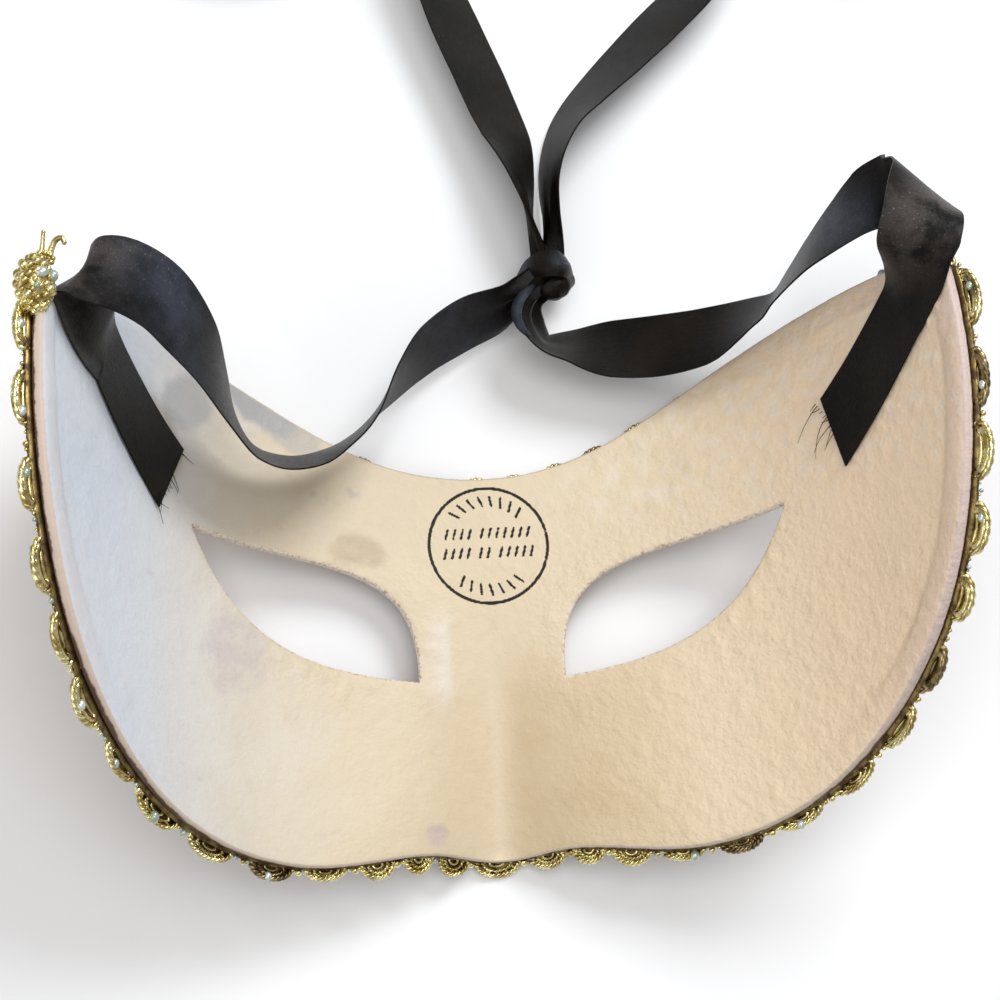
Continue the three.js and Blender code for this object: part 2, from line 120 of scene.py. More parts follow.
def join_parts(parts):
    """One list of points and faces from several."""
    points, faces, start = [], [], 0
    for some_points, some_faces in parts:
        points.append(np.asarray(some_points, float))
        faces += [tuple(i + start for i in face) for face in some_faces]
        start += len(some_points)
    return np.concatenate(points), faces


def unit(vectors):
    vectors = np.asarray(vectors, float)
    return vectors / np.maximum(np.linalg.norm(vectors, axis=-1, keepdims=True), 1e-9)


def square_to(along, vectors):
    """The vectors turned square to the directions along."""
    return unit(vectors - along * np.sum(vectors * along, -1, keepdims=True))


def smoothstep(low, high, value):
    t = np.clip((value - low) / (high - low), 0, 1)
    return t * t * (3 - 2 * t)


def fall(low, high, value):
    """1 up to low, and 0 from high on."""
    return 1 - smoothstep(low, high, value)


def field(points, size, octaves=3, seed=0.0):
    """Smooth noise of about -1 to 1 at points, with features of about that size."""
    return np.array([
        noise.fractal((p[0] / size + seed, p[1] / size - seed, (p[2] if len(p) > 2 else 0) / size),
                      1.0, 2.0, octaves)
        for p in points
    ])


def tangents(path, closed=False):
    path = np.asarray(path, float)
    if closed:
        return unit(np.roll(path, -1, 0) - np.roll(path, 1, 0))
    return unit(np.gradient(path, axis=0))


def run_of(line):
    """How far along the line each of its points is."""
    gaps = np.linalg.norm(np.diff(line, axis=0), axis=1)
    return np.concatenate([[0], np.cumsum(gaps)])


def values_at(wanted, run, values):
    """The values at other places of the run, each column on its own."""
    return np.stack([np.interp(wanted, run, column) for column in np.transpose(values)], -1)


def ring_faces(count, sides, closed=False):
    """The faces of a tube of rings, with its two ends filled unless it is closed."""
    faces = []
    for k in range(count if closed else count - 1):
        a, b = k * sides, (k + 1) % count * sides
        for j in range(sides):
            n = (j + 1) % sides
            faces.append((a + j, b + j, b + n, a + n))
    if not closed:
        faces.append(tuple(range(sides)))
        faces.append(tuple((count - 1) * sides + j for j in reversed(range(sides))))
    return faces


def tube(path, radius, sides=8, closed=False, up=None, flat=1.0):
    """A round tube along a path. radius may be a number or one for each point, and up is the
    direction in which it is flattened."""
    count = len(path)
    along = tangents(path, closed)
    radii = np.broadcast_to(np.asarray(radius, float), (count,))
    if up is None:
        ups = [unit(np.cross(along[0], (0.3, 0.2, 1.0)))]
        for way in along[1:]:
            ups.append(square_to(way, ups[-1]))
        ups = np.array(ups)
    else:
        ups = square_to(along, np.broadcast_to(up, (count, 3)))
    sideways = np.cross(along, ups)
    turn = np.linspace(0, 2 * np.pi, sides, endpoint=False)[None, :, None]
    rings = np.asarray(path, float)[:, None] + radii[:, None, None] * (
        np.cos(turn) * sideways[:, None] + flat * np.sin(turn) * ups[:, None])
    return rings.reshape(-1, 3), ring_faces(count, sides, closed)


def ball(centre, radii, columns=10, rows=7):
    """A closed ball of quads, for beads and stones."""
    polar = np.pi * np.arange(1, rows)[:, None] / rows
    turn = 2 * np.pi * np.arange(columns) / columns
    rings = np.stack([np.sin(polar) * np.cos(turn), np.sin(polar) * np.sin(turn),
                      np.cos(polar) + 0 * turn], -1)
    points = np.concatenate([[(0, 0, 1)], rings.reshape(-1, 3), [(0, 0, -1)]])
    faces = []
    for c in range(columns):
        n = (c + 1) % columns
        faces.append((0, 1 + c, 1 + n))
        for r in range(rows - 2):
            a, b = 1 + r * columns, 1 + (r + 1) * columns
            faces.append((a + c, b + c, b + n, a + n))
        low = 1 + (rows - 2) * columns
        faces.append((len(points) - 1, low + n, low + c))
    return centre + points * radii, faces


def plate(upper, lower):
    """A closed plate between two grids of points."""
    rows, wide = upper.shape[:2]
    total = rows * wide
    last = wide - 1
    faces = []
    for i in range(rows - 1):
        a, b = i * wide, (i + 1) * wide
        for j in range(last):
            faces.append((a + j, a + j + 1, b + j + 1, b + j))
            faces.append((total + a + j, total + b + j, total + b + j + 1, total + a + j + 1))
    for i in range(rows - 1):
        a, b = i * wide, (i + 1) * wide
        faces.append((a, b, total + b, total + a))
        faces.append((b + last, a + last, total + a + last, total + b + last))
    for j in range(last):
        a, b = j, (rows - 1) * wide + j
        faces.append((a + 1, a, total + a, total + a + 1))
        faces.append((b, b + 1, total + b + 1, total + b))
    return np.concatenate([upper.reshape(-1, 3), lower.reshape(-1, 3)]), faces


# Materials

class Paint:
    """The nodes of one material. Where a value is wanted, a name stands for the mesh's own
    number of that name at each vertex."""

    def __init__(self, name):
        self.material = bpy.data.materials.new(name)
        self.material.use_nodes = True
        self.tree = self.material.node_tree
        self.shader = self.tree.nodes["Principled BSDF"]
        self.place = self.node("TexCoord").outputs["Object"]
        self.colour = None

    def put(self, value, socket):
        if isinstance(value, str):
            value = self.node("Attribute", attribute_name=value).outputs["Fac"]
        if isinstance(value, bpy.types.NodeSocket):
            self.tree.links.new(value, socket)
        elif socket.type == "RGBA":
            socket.default_value = (*value, 1.0)
        else:
            socket.default_value = value

    def node(self, kind, inputs=None, **values):
        made = self.tree.nodes.new("ShaderNode" + kind)
        for key, value in values.items():
            setattr(made, key, value)
        for key, value in (inputs or {}).items():
            self.put(value, made.inputs[key])
        return made

    def noise(self, scale, detail=4.0, rough=0.6, place=None):
        return self.node("TexNoise", {"Vector": place or self.place, "Scale": scale,
                                      "Detail": detail, "Roughness": rough}).outputs["Fac"]

    def ramp(self, value, low, high, first=0.0, second=1.0):
        return self.node("MapRange", {"Value": value, "From Min": low, "From Max": high,
                                      "To Min": first, "To Max": second},
                         interpolation_type="SMOOTHSTEP").outputs["Result"]

    def mix(self, amount, a, b, blend="MIX"):
        made = self.node("Mix", data_type="RGBA", blend_type=blend)
        for value, socket in zip((amount, a, b), [s for s in made.inputs if s.enabled]):
            self.put(value, socket)
        return [s for s in made.outputs if s.enabled][0]

    def maths(self, operation, *values):
        made = self.node("Math", operation=operation)
        for value, socket in zip(values, made.inputs):
            self.put(value, socket)
        return made.outputs[0]

    def times(self, a, b):
        return self.maths("MULTIPLY", a, b)

    def plus(self, a, b):
        return self.maths("ADD", a, b)

    def cover(self, amount, colour, strength=None, blend="MIX"):
        """Lays a colour over the one so far."""
        amount = amount if strength is None else self.times(amount, strength)
        self.colour = self.mix(amount, self.colour, colour, blend)

    def bumps(self, height, distance, strength):
        return self.node("Bump", {"Height": height, "Distance": distance,
                                  "Strength": strength}).outputs["Normal"]

    def finish(self, inputs):
        """The material, with the paint's colour and these other inputs of its shader."""
        for key, value in {"Base Color": self.colour, **inputs}.items():
            self.put(value, self.shader.inputs[key])
        return self.material


def satin_material():
    """Black satin: long fine threads along the band, crossed by short floats."""
    paint = Paint("black_satin")
    sheet = paint.node("UVMap", uv_map="sheet").outputs["UV"]
    threads = paint.node("Mapping", {"Vector": sheet, "Scale": (900.0, 60.0, 1.0)})
    weave = paint.noise(1.0, 2.0, 0.5, threads.outputs["Vector"])
    floats = paint.node("Mapping", {"Vector": sheet, "Scale": (150.0, 300.0, 1.0)})
    speck = paint.noise(1.0, 3.0, 0.65, floats.outputs["Vector"])
    patchy = paint.noise(160.0, 4.0, 0.65)
    paint.colour = paint.mix(paint.ramp(paint.noise(70.0, 3.0, 0.5), 0.35, 0.65),
                             (0.0032, 0.0024, 0.0017), (0.0075, 0.0054, 0.0035))
    # Painted blue reflection, in the patches that the mesh marks.
    blue_sheen = paint.times("blue_sheen", paint.ramp(patchy, 0.25, 0.60, 0.35, 1.0))
    paint.cover(blue_sheen, (0.036, 0.043, 0.060))
    # Painted warm sheen, in the patches that the mesh marks.
    warm_sheen = paint.times("warm_sheen", paint.ramp(patchy, 0.35, 0.60))
    paint.cover(warm_sheen, (0.062, 0.051, 0.045))
    # Painted glints: bright specks everywhere, strongest in the painted warm sheen.
    glint = paint.ramp(speck, 0.60, 0.70)
    glints = paint.plus(paint.times(warm_sheen, 0.9), paint.plus(paint.times(blue_sheen, 0.4), 0.07))
    paint.cover(paint.times(glint, glints), (0.22, 0.21, 0.21))
    rough = paint.plus(paint.ramp(weave, 0.3, 0.7, 0.30, 0.42), paint.times(glint, -0.10))
    height = paint.plus(weave, paint.times(speck, 0.9))
    return paint.finish({
        "Roughness": rough, "Normal": paint.bumps(height, 0.00014, 0.6),
        "Specular IOR Level": 0.11, "Sheen Weight": 0.006, "Sheen Roughness": 0.4,
        "Sheen Tint": (0.80, 0.78, 0.76)})


def gold_material(name, deep, bright, rough_low, rough_high):
    """Worn metal foil with dirt in its hollows."""
    paint = Paint(name)
    worn = paint.noise(420.0)
    dirt = paint.noise(90.0, 3.0)
    paint.colour = paint.mix(paint.ramp(worn, 0.35, 0.62), deep, bright)
    paint.cover(paint.ramp(dirt, 0.56, 0.75, 0.0, 0.7), (0.07, 0.035, 0.015))
    rough = paint.ramp(worn, 0.3, 0.7, rough_high, rough_low)
    return paint.finish({"Roughness": rough, "Metallic": 1.0,
                         "Normal": paint.bumps(paint.noise(2600.0, 3.0), 0.00008, 0.5)})


def stone_material():
    """Cloudy grey-green stones with a pearly coat."""
    paint = Paint("pearly_stone")
    cloud = paint.noise(300.0, 3.0)
    paint.colour = paint.mix(paint.ramp(cloud, 0.35, 0.65), (0.30, 0.38, 0.30), (0.62, 0.66, 0.62))
    rough = paint.ramp(cloud, 0.3, 0.7, 0.12, 0.25)
    return paint.finish({"Roughness": rough, "Metallic": 0.35, "Coat Weight": 0.6,
                         "Normal": paint.bumps(paint.noise(900.0, 2.0, 0.5), 0.00006, 0.4)})


def paint_inside(paint, mottle, fine):
    """The mask's inner face: beige paint, whiter on the left where painted cool light makes it
    bluish white, and buff towards the right where brighter light is painted, with its stains,
    painted shade beside the nose and along the rounded rim, brown near the eyes and the ink of the
    stamp."""
    # Beige paint, whiter on the left, where painted cool light makes it bluish white.
    paint.colour = paint.mix(paint.ramp("side", -0.82, -0.34), (0.61, 0.66, 0.74),
                             (0.645, 0.535, 0.368))
    # Painted brighter light over buff paint towards the right wall.
    paint.cover(paint.ramp("side", 0.15, 0.75), (0.85, 0.66, 0.465))
    paint.cover("shade", (0.83, 0.755, 0.655), blend="MULTIPLY")
    # Mottled patches: grey-white under the painted cool light on the left, beige on the right.
    mottled = paint.mix(paint.ramp("side", -0.6, 0.0), (0.72, 0.72, 0.71), (0.735, 0.615, 0.445))
    paint.cover(paint.ramp(mottle, 0.3, 0.7, 0.0, 0.35), mottled)
    paint.cover(paint.ramp(fine, 0.56, 0.75, 0.0, 0.18), (0.46, 0.34, 0.23))
    paint.cover("white", (0.74, 0.73, 0.72), 0.45)
    paint.cover("grey", (0.36, 0.36, 0.37), 0.85)
    worn = paint.times("tan", paint.ramp(fine, 0.25, 0.65, 0.55, 0.95))
    paint.cover(worn, (0.40, 0.30, 0.18), 0.60)
    scuffed = paint.times("scuff", paint.ramp(fine, 0.35, 0.6, 0.2, 1.0))
    paint.cover(scuffed, (0.50, 0.44, 0.47), 0.45)
    paint.cover("smudge", (0.42, 0.36, 0.50), 0.35)
    near_rim = paint.plus("rim", paint.ramp(mottle, 0.3, 0.7, 0.0, 1.6))
    band = paint.times(paint.ramp(near_rim, 4.6, 6.6, 1.0, 0.0), "lilac")
    paint.cover(band, (0.60, 0.44, 0.38), 0.42)
    from_fold = paint.maths("ABSOLUTE", paint.maths("SUBTRACT", "rim", 5.1))
    fold = paint.times(paint.ramp(from_fold, 0.15, 1.1, 1.0, 0.0), "lilac")
    paint.cover(fold, (0.38, 0.28, 0.21), 0.28)
    # Painted shade along the rounded edge of the rim.
    rim_edge_shade = paint.ramp(paint.plus("rim", paint.times(fine, 1.2)), 0.6, 1.1, 1.0, 0.0)
    paint.cover(rim_edge_shade, (0.30, 0.19, 0.15), 0.22)
    # Brown in uneven patches near the eyes' edges.
    eye_edge_brown = paint.ramp(paint.plus("eye", paint.times(fine, 1.6)), 0.8, 1.7, 1.0, 0.0)
    paint.cover(eye_edge_brown, (0.50, 0.36, 0.22), 0.18)
    ink = paint.ramp("ink", 0.15, 0.6)
    paint.cover(ink, (0.014, 0.011, 0.012), 0.985)
    return ink


def cut_paper(paint, fine):
    """Pale fibres in brown at the eyes, and a pinkish rim that is dark at its outer edge."""
    fibres = paint.mix(paint.ramp(paint.noise(1500.0, 3.0, 0.7), 0.36, 0.52), (0.46, 0.33, 0.22),
                       (0.75, 0.66, 0.55))
    edge = paint.plus("outer", paint.ramp(fine, 0.3, 0.7, -0.12, 0.12))
    edge = paint.plus(edge, paint.ramp("lilac", 0.1, 0.6, 0.34, -0.15))
    pale = paint.mix("lilac", (0.56, 0.46, 0.36), (0.60, 0.47, 0.43))
    rim_paper = paint.mix(paint.ramp(edge, 0.60, 0.84), pale, (0.085, 0.045, 0.030))
    return paint.mix(paint.ramp("rim", 0.0, 0.6, 1.0, 0.0), fibres, rim_paper)


def old_gold(paint, cracks):
    """The painted front: old gold rubbed over plum, with fine cracks."""
    front = paint.mix(paint.ramp(paint.noise(55.0, 5.0, 0.65), 0.40, 0.60), (0.16, 0.035, 0.05),
                      (0.50, 0.33, 0.10))
    return paint.mix(paint.ramp(cracks, 0.02, 0.07, 0.8, 0.0), front, (0.05, 0.02, 0.02))


def paper_material():
    paint = Paint("papier_mache")
    mottle, fine = paint.noise(38.0), paint.noise(240.0, 4.0, 0.65)
    cracks = paint.node("TexVoronoi", {"Vector": paint.place, "Scale": 420.0},
                        feature="DISTANCE_TO_EDGE").outputs["Distance"]
    ink = paint_inside(paint, mottle, fine)
    paint.cover("cut", cut_paper(paint, fine))
    is_front = paint.ramp("outer", 0.62, 0.80)
    paint.cover(paint.times(is_front, paint.ramp("cut", 0.2, 0.9, 1.0, 0.0)),
                old_gold(paint, cracks))
    rough = paint.maths("SUBTRACT", paint.ramp(mottle, 0.3, 0.7, 0.40, 0.58),
                        paint.times(is_front, 0.10))
    peel = paint.times(paint.noise(760.0, 2.0, 0.5), "peel")
    height = paint.plus(paint.noise(520.0), paint.times(paint.noise(1900.0, 3.0), 0.35))
    height = paint.plus(height, paint.times(peel, 2.2))
    height = paint.plus(height, paint.times(paint.ramp(cracks, 0.0, 0.08), is_front))
    return paint.finish({"Roughness": rough, "Normal": paint.bumps(height, 0.00045, 0.42),
                         "Specular IOR Level": paint.ramp(ink, 0.0, 1.0, 0.42, 0.10)})


def floor_material():
    paint = Paint("pale_floor")
    tone = paint.noise(6.0, 3.0, 0.5)
    paint.colour = paint.mix(paint.ramp(tone, 0.3, 0.7), (0.90, 0.90, 0.905), (0.93, 0.93, 0.935))
    return paint.finish({"Roughness": paint.ramp(tone, 0.3, 0.7, 0.75, 0.85)})


satin = satin_material()
gold = gold_material("gold_foil", (0.40, 0.30, 0.10), (0.90, 0.81, 0.43), 0.16, 0.34)
bronze = gold_material("dark_bronze", (0.12, 0.085, 0.04), (0.42, 0.32, 0.16), 0.22, 0.45)
olive = gold_material("olive_tape", (0.10, 0.060, 0.032), (0.34, 0.25, 0.10), 0.35, 0.6)
stone = stone_material()
paper = paper_material()


# The mask's form

WALL_ANGLE = math.radians(74.2)
BEND_REACH = 80
BEND_START = 1.6
BEND_END = 6
BROW_HEIGHT = 3.9
BROW_Y = 33
FACE_SLOPE = math.tan(math.radians(8))
NOSE_DEPTH = 10.8
NOSE_TOP_Y = 14
NOSE_TIP_Y = -44
NOSE_HALF_WIDTH = 12.5
SHELL_THICKNESS = 2.0
TIP_Y = 56

ARC_STEP = 0.5
ARC_LENGTH = 150

# The cross-section of the sheet as it bends, at even steps along it.
arc = np.arange(0, ARC_LENGTH, ARC_STEP)
arc_middle = (arc[:-1] + ARC_STEP / 2) / BEND_REACH
arc_angle = WALL_ANGLE * arc_middle**BEND_START / (
    1 + arc_middle**BEND_END) ** (BEND_START / BEND_END)
arc_x = np.concatenate([[0], np.cumsum(ARC_STEP * np.cos(arc_angle))])
arc_rise = np.concatenate([[0], np.cumsum(ARC_STEP * np.sin(arc_angle))])


def inner_point(s, y):
    """A place of the unrolled sheet as a point of the mask's inner face."""
    s, y = np.asarray(s, float), np.asarray(y, float)
    x = np.interp(np.abs(s), arc, arc_x)
    rise = np.interp(np.abs(s), arc, arc_rise)
    down = np.clip((NOSE_TOP_Y - y) / (NOSE_TOP_Y - NOSE_TIP_Y), 0, 1.3)
    width = NOSE_HALF_WIDTH * (0.8 + 0.2 * down)
    nose = NOSE_DEPTH * down**1.3 * np.exp(-((x / width) ** 1.8))
    return np.stack([np.sign(s) * x, y, BROW_HEIGHT + (BROW_Y - y) * FACE_SLOPE + rise - nose], -1)


def inner_normal(s, y, reach=0.4):
    along = inner_point(s + reach, y) - inner_point(s - reach, y)
    up = inner_point(s, y + reach) - inner_point(s, y - reach)
    return unit(np.cross(along, up))


def face_point(s, y, lift):
    return inner_point(s, y) + inner_normal(s, y) * np.asarray(lift, float)[..., None]


def cubic(controls, steps):
    a, b, c, d = (np.array(p, float) for p in controls)
    t = np.linspace(0, 1, steps + 1)[:, None]
    return a * (1 - t)**3 + 3 * b * t * (1 - t)**2 + 3 * c * t**2 * (1 - t) + d * t**3


def even(loop, step):
    """The same closed line with points an even step apart."""
    line = np.concatenate([loop, loop[:1]])
    run = run_of(line)
    wanted = np.linspace(0, run[-1], int(round(run[-1] / step)), endpoint=False)
    return values_at(wanted, run, line)


RIM_CURVES = [
    [(0, 32.7), (34, 32.7), (44, 60.4), (92, 60.4)],
    [(92, 60.4), (100.5, 60.4), (108, 59), (114.3, TIP_Y)],
    [(114.3, TIP_Y), (119, 33), (111, 6), (94.8, -11.3)],
    [(94.8, -11.3), (85.1, -21.6), (60.3, -43.8), (34, -43.8)],
    [(34, -43.8), (27, -43.8), (21, -42.4), (14, -42.4)],
    [(14, -42.4), (9, -42.4), (5, -44.2), (0, -44.2)],
]
CURVE_STEPS = 60
EYE_STEPS = 80
EYE_UPPER = [(62.2, 21.3), (33, 14.8), (13.2, 16.5), (14.4, -8.7)]
EYE_LOWER = [(14.4, -8.7), (32, -6.3), (49.5, -3.5), (62.2, 21.3)]

half_rim = [cubic(c, CURVE_STEPS)[:-1] for c in RIM_CURVES]
half_rim = np.concatenate(half_rim + [[(0, SHELL_LOWEST_Y)]])
whole_rim = np.concatenate([half_rim, half_rim[1:-1][::-1] * (-1, 1)])
eye_loop = np.concatenate([cubic(c, EYE_STEPS)[:-1] for c in (EYE_UPPER, EYE_LOWER)])


# The ribbons

RIBBON_WIDTH = 15.0
RIBBON_THICKNESS = 0.34
BAND_STEP = 0.9
BAND_COLUMNS = 14
BAND_CURL = 0.35
GATHER_REACH = 9.0
SLANT_REACH = 6.0
BAND_SHARP_ANGLE = math.radians(50)
CURVE_PARTS = 4
TURN_PARTS = 16
GLUE_LIFT = 0.7
GLUED_LENGTH = 30
GLUED_STEPS = 6
RIGHT_CUT = ((77.2, 32.5), (0.79, 0.61))
LEFT_CUT = ((-68.6, 29.6), (-0.73, 0.68))

# Each station of a free ribbon: the middle of the band, then the direction across it.
RIGHT_ROUTE = [
    (75.8, 53.3, 58.0, 0.42, -0.70, 0.58),
    (75.7, 55.6, 62.3, 0.64, -0.58, 0.50),
    (75.4, 58.4, 66.3, 0.86, -0.44, 0.24),
    (75.4, 61.1, 68.8, 0.95, -0.26, 0.12),
    (76.3, 64.3, 69.2, 0.95, -0.31, 0.05),
    (77.4, 68.1, 67.6, 0.88, -0.48, 0),
    (78.9, 71.8, 63.8, 0.75, -0.66, -0.05),
    (79.4, 73.6, 59, 0.68, -0.73, -0.07),
    (79.3, 74.6, 55, 0.61, -0.78, -0.09),
    (79.1, 75.5, 51.2, 0.57, -0.79, -0.22),
    (77.7, 76.2, 47.8, 0.42, -0.86, -0.31),
    (75.8, 76.4, 46.5, 0.23, -0.95, 0.18),
    (72.4, 75.2, 45, 0.07, -0.88, 0.47),
    (69, 73, 42, -0.06, -0.81, 0.58),
    (63.5, 68.7, 35.5, -0.28, -0.69, 0.67),
    (59.1, 63.8, 28.5, -0.40, -0.62, 0.68),
    (57.1, 61.1, 25, -0.36, -0.56, 0.75),
    (53.5, 59.8, 21.5, -0.32, -0.71, 0.62),
    (46, 57.8, 16, -0.12, -0.90, 0.42),
    (37, 57.2, 12.2, -0.10, -0.94, 0.33),
    (27.5, 57.5, 9.7, -0.15, -0.89, 0.43),
    (20, 58.3, 8.8, -0.14, -0.66, 0.74),
]
RIGHT_END = [
    (14.8, 59.2, 8.8, -0.23, -0.46, 0.86),
    (12.7, 61.8, 9, -0.44, -0.31, 0.84),
    (11.6, 65, 9.2, -0.54, -0.17, 0.82),
    (12.1, 67.9, 9.4, -0.45, -0.12, 0.88),
    (13.8, 70.4, 9.4, -0.32, -0.11, 0.94),
    (15.4, 72.6, 9.2, -0.26, -0.16, 0.95),
]
LEFT_ROUTE = [
    (-72.0, 51.6, 50.2, 0.46, 0.60, -0.65),
    (-73.3, 54.2, 55.2, 0.60, 0.53, -0.60),
    (-74.6, 58.0, 59.4, 0.67, 0.53, -0.52),
    (-74.6, 59.9, 62.0, 0.63, 0.69, -0.36),
    (-71.7, 60.0, 62.9, 0.50, 0.79, -0.36),
    (-67.2, 59.5, 61.9, 0.46, 0.82, -0.33),
    (-61.4, 57.2, 58.4, 0.44, 0.83, -0.35),
    (-58, 54.3, 55.4, 0.39, 0.85, -0.36),
    (-53, 48.5, 48.5, 0.24, 0.83, -0.50),
    (-49.7, 42.4, 40.5, 0.00, 0.80, -0.60),
    (-46.5, 36.4, 32.8, -0.26, 0.70, -0.66),
    (-43.6, 34, 29.2, -0.43, 0.57, -0.70),
    (-39.7, 33.1, 26, -0.51, 0.42, -0.75),
    (-35.2, 33.6, 23.3, -0.51, 0.29, -0.81),
    (-31, 35.4, 21.1, -0.48, 0.14, -0.87),
    (-26.7, 38.1, 19.4, -0.42, 0.01, -0.91),
    (-23, 41.7, 17.8, -0.33, -0.09, -0.94),
    (-17.2, 49.6, 15, -0.08, -0.28, -0.96),
    (-10.5, 57.3, 12.3, 0.10, -0.42, -0.90),
    (-1.7, 63.2, 10.6, 0.15, -0.49, -0.86),
    (6.3, 66.3, 10, 0.14, -0.48, -0.87),
]
LEFT_END = [
    (10.6, 69.6, 9.8, 0.10, -0.50, -0.86),
    (14.0, 72.6, 9.4, 0.10, -0.50, -0.86),
]
RIGHT_TAIL_START = [(16.6, 75.4, 8.4, 0.30, -0.10, 0.95)]
LEFT_TAIL_START = [(14.9, 75.6, 8.2, 0.10, 0.05, -0.99)]
RIGHT_TAIL_ROUTE = [
    (17.4, 81.2, 8.2, 0.10, -0.15, 0.98),
    (17.4, 86.5, 8.2, 0.10, -0.18, 0.98),
    (17.6, 93.2, 8.1, 0.13, -0.22, 0.97),
    (18.9, 99.8, 8, 0.20, -0.23, 0.95),
    (21.6, 106, 7.9, 0.29, -0.26, 0.92),
    (25.6, 111.2, 7.5, 0.39, -0.33, 0.86),
    (34.6, 120.3, 6.9, 0.48, -0.42, 0.77),
    (43.7, 129.2, 6.6, 0.52, -0.46, 0.72),
    (52.8, 138.2, 6.8, 0.50, -0.42, 0.75),
    (60.5, 148, 7.4, 0.32, -0.18, 0.93),
    (64, 157, 8.1, 0.08, -0.02, 1),
    (64.5, 162, 8.1, 0, 0, 1),
]
LEFT_TAIL_ROUTE = [
    (13.9, 81, 8.3, 0.16, 0.05, -0.98),
    (12.9, 87, 8.2, 0.24, 0.08, -0.97),
    (12, 92.5, 7.9, 0.38, 0.14, -0.91),
    (11, 98.5, 7.2, 0.54, 0.21, -0.81),
    (9.4, 105, 6.3, 0.70, 0.28, -0.66),
    (7.2, 111, 6, 0.74, 0.29, -0.61),
    (4.5, 118.5, 5.9, 0.75, 0.29, -0.59),
    (1.4, 126.5, 5.9, 0.75, 0.29, -0.59),
    (-2.2, 136.5, 6.1, 0.72, 0.26, -0.64),
    (-6.4, 148, 7, 0.45, 0.12, -0.88),
    (-8.6, 157, 8.1, 0.10, 0.02, -1),
    (-9, 162, 8.1, 0, 0, -1),
]
COIL_HEIGHT = 8.1
COIL_START_RADIUS = 28.0
COIL_PITCH = 6.0
COIL_TURNS = 1.12
RIGHT_COIL_AT = (92.5, 172)
LEFT_COIL_AT = (-37, 172)


def catmull(points, steps):
    """A smooth centripetal curve through points, with that many steps between two of them."""
    points = np.asarray(points, float)
    first = 2 * points[0] - points[1]
    last = 2 * points[-1] - points[-2]
    run = np.concatenate([[first], points, [last]])
    made = [points[0]]
    for i in range(1, len(run) - 2):
        p0, p1, p2, p3 = run[i - 1:i + 3]
        d0, d1, d2 = (max(np.linalg.norm(b - a) ** 0.5, 1e-4)
                      for a, b in ((p0, p1), (p1, p2), (p2, p3)))
        t1 = ((p1 - p0) / d0 - (p2 - p0) / (d0 + d1) + (p2 - p1) / d1) * d1
        t2 = ((p2 - p1) / d1 - (p3 - p1) / (d1 + d2) + (p3 - p2) / d2) * d1
        for k in range(1, steps + 1):
            w = k / steps
            made.append(p1 + t1 * w + (-3 * p1 + 3 * p2 - 2 * t1 - t2) * w**2
                        + (2 * p1 - 2 * p2 + t1 + t2) * w**3)
    return np.array(made)


def glued_place(cut, run, aside=0.0):
    """A place on the sheet under a glued ribbon: run from its cut end, aside to its right."""
    (s, y), (hs, hy) = cut
    return s + hs * run + hy * aside, y + hy * run - hs * aside


def glued_stations(cut):
    """The stretch of a ribbon that is glued inside a temple point, from its cut end."""
    stations = []
    for run in np.linspace(0, GLUED_LENGTH, GLUED_STEPS + 1):
        left, middle, right = (face_point(*glued_place(cut, run, aside), GLUE_LIFT)
                               for aside in (-RIBBON_WIDTH / 2, 0, RIBBON_WIDTH / 2))
        stations.append((*middle, *unit(right - left)))
    return stations


def coil_stations(centre, way):
    """The unseen end of a tail, rolled up and standing on its edge. way is -1 for clockwise."""
    start = math.pi if way < 0 else 0.0
    stations = []
    for turn in np.linspace(0, COIL_TURNS, int(TURN_PARTS * COIL_TURNS) + 1):
        radius = COIL_START_RADIUS - COIL_PITCH * turn
        angle = start + way * 2 * math.pi * turn
        stations.append((centre[0] + radius * math.cos(angle), centre[1] + radius * math.sin(angle),
                         COIL_HEIGHT, 0, 0, -way))
    return stations


def band_line(stations):
    """The smooth middle line of a band, in even steps, and the directions across and along it."""
    stations = np.asarray(stations, float)
    middle = catmull(stations[:, :3], CURVE_PARTS)
    across = square_to(tangents(middle), catmull(unit(stations[:, 3:]), CURVE_PARTS))
    run = run_of(middle)
    wanted = np.linspace(0, run[-1], int(run[-1] / BAND_STEP) + 1)
    middle, across = values_at(wanted, run, middle), values_at(wanted, run, across)
    along = tangents(middle)
    return wanted, middle, square_to(along, across), along


def clear_of_walls(points, gap=0.5):
    """Points moved off the mask's side walls where they would go into them."""
    flat = points.reshape(-1, 3)
    grid = np.arange(50, 116, 0.5)
    s_grid = np.sign(flat[:, :1]) * grid
    y_grid = np.broadcast_to(flat[:, 1:2], s_grid.shape)
    away = inner_point(s_grid, y_grid) - flat[:, None, :]
    nearest = np.argmin(away[..., 0] ** 2 + away[..., 2] ** 2, axis=1)
    s = np.sign(flat[:, 0]) * grid[nearest]
    normal = inner_normal(s, flat[:, 1])
    height = np.sum((flat - inner_point(s, flat[:, 1])) * normal, axis=1)
    on_wall = fall(55, 59, flat[:, 1]) * (height > -5)
    push = np.maximum(gap - height, 0) * on_wall * smoothstep(50, 60, np.abs(s))
    return (flat + normal * push[:, None]).reshape(points.shape)


def shine_facts(run, across, shine):
    """How much painted blue reflection and painted warm sheen lie on the satin at each vertex of a
    band's upper face.
    """
    blue_sheen, warm_sheen = np.zeros(len(run)), np.zeros(len(run))
    for at, spread, lean, blue, warm in shine:
        away = (run - at - lean * across) / spread
        soft = np.exp(-away**2) * (0.75 + 0.25 * np.cos(across * 2.2 + at))
        blue_sheen, warm_sheen = np.maximum(blue_sheen, soft * blue), np.maximum(warm_sheen, soft * warm)
    return {"blue_sheen": np.tile(blue_sheen, 2), "warm_sheen": np.tile(warm_sheen, 2)}


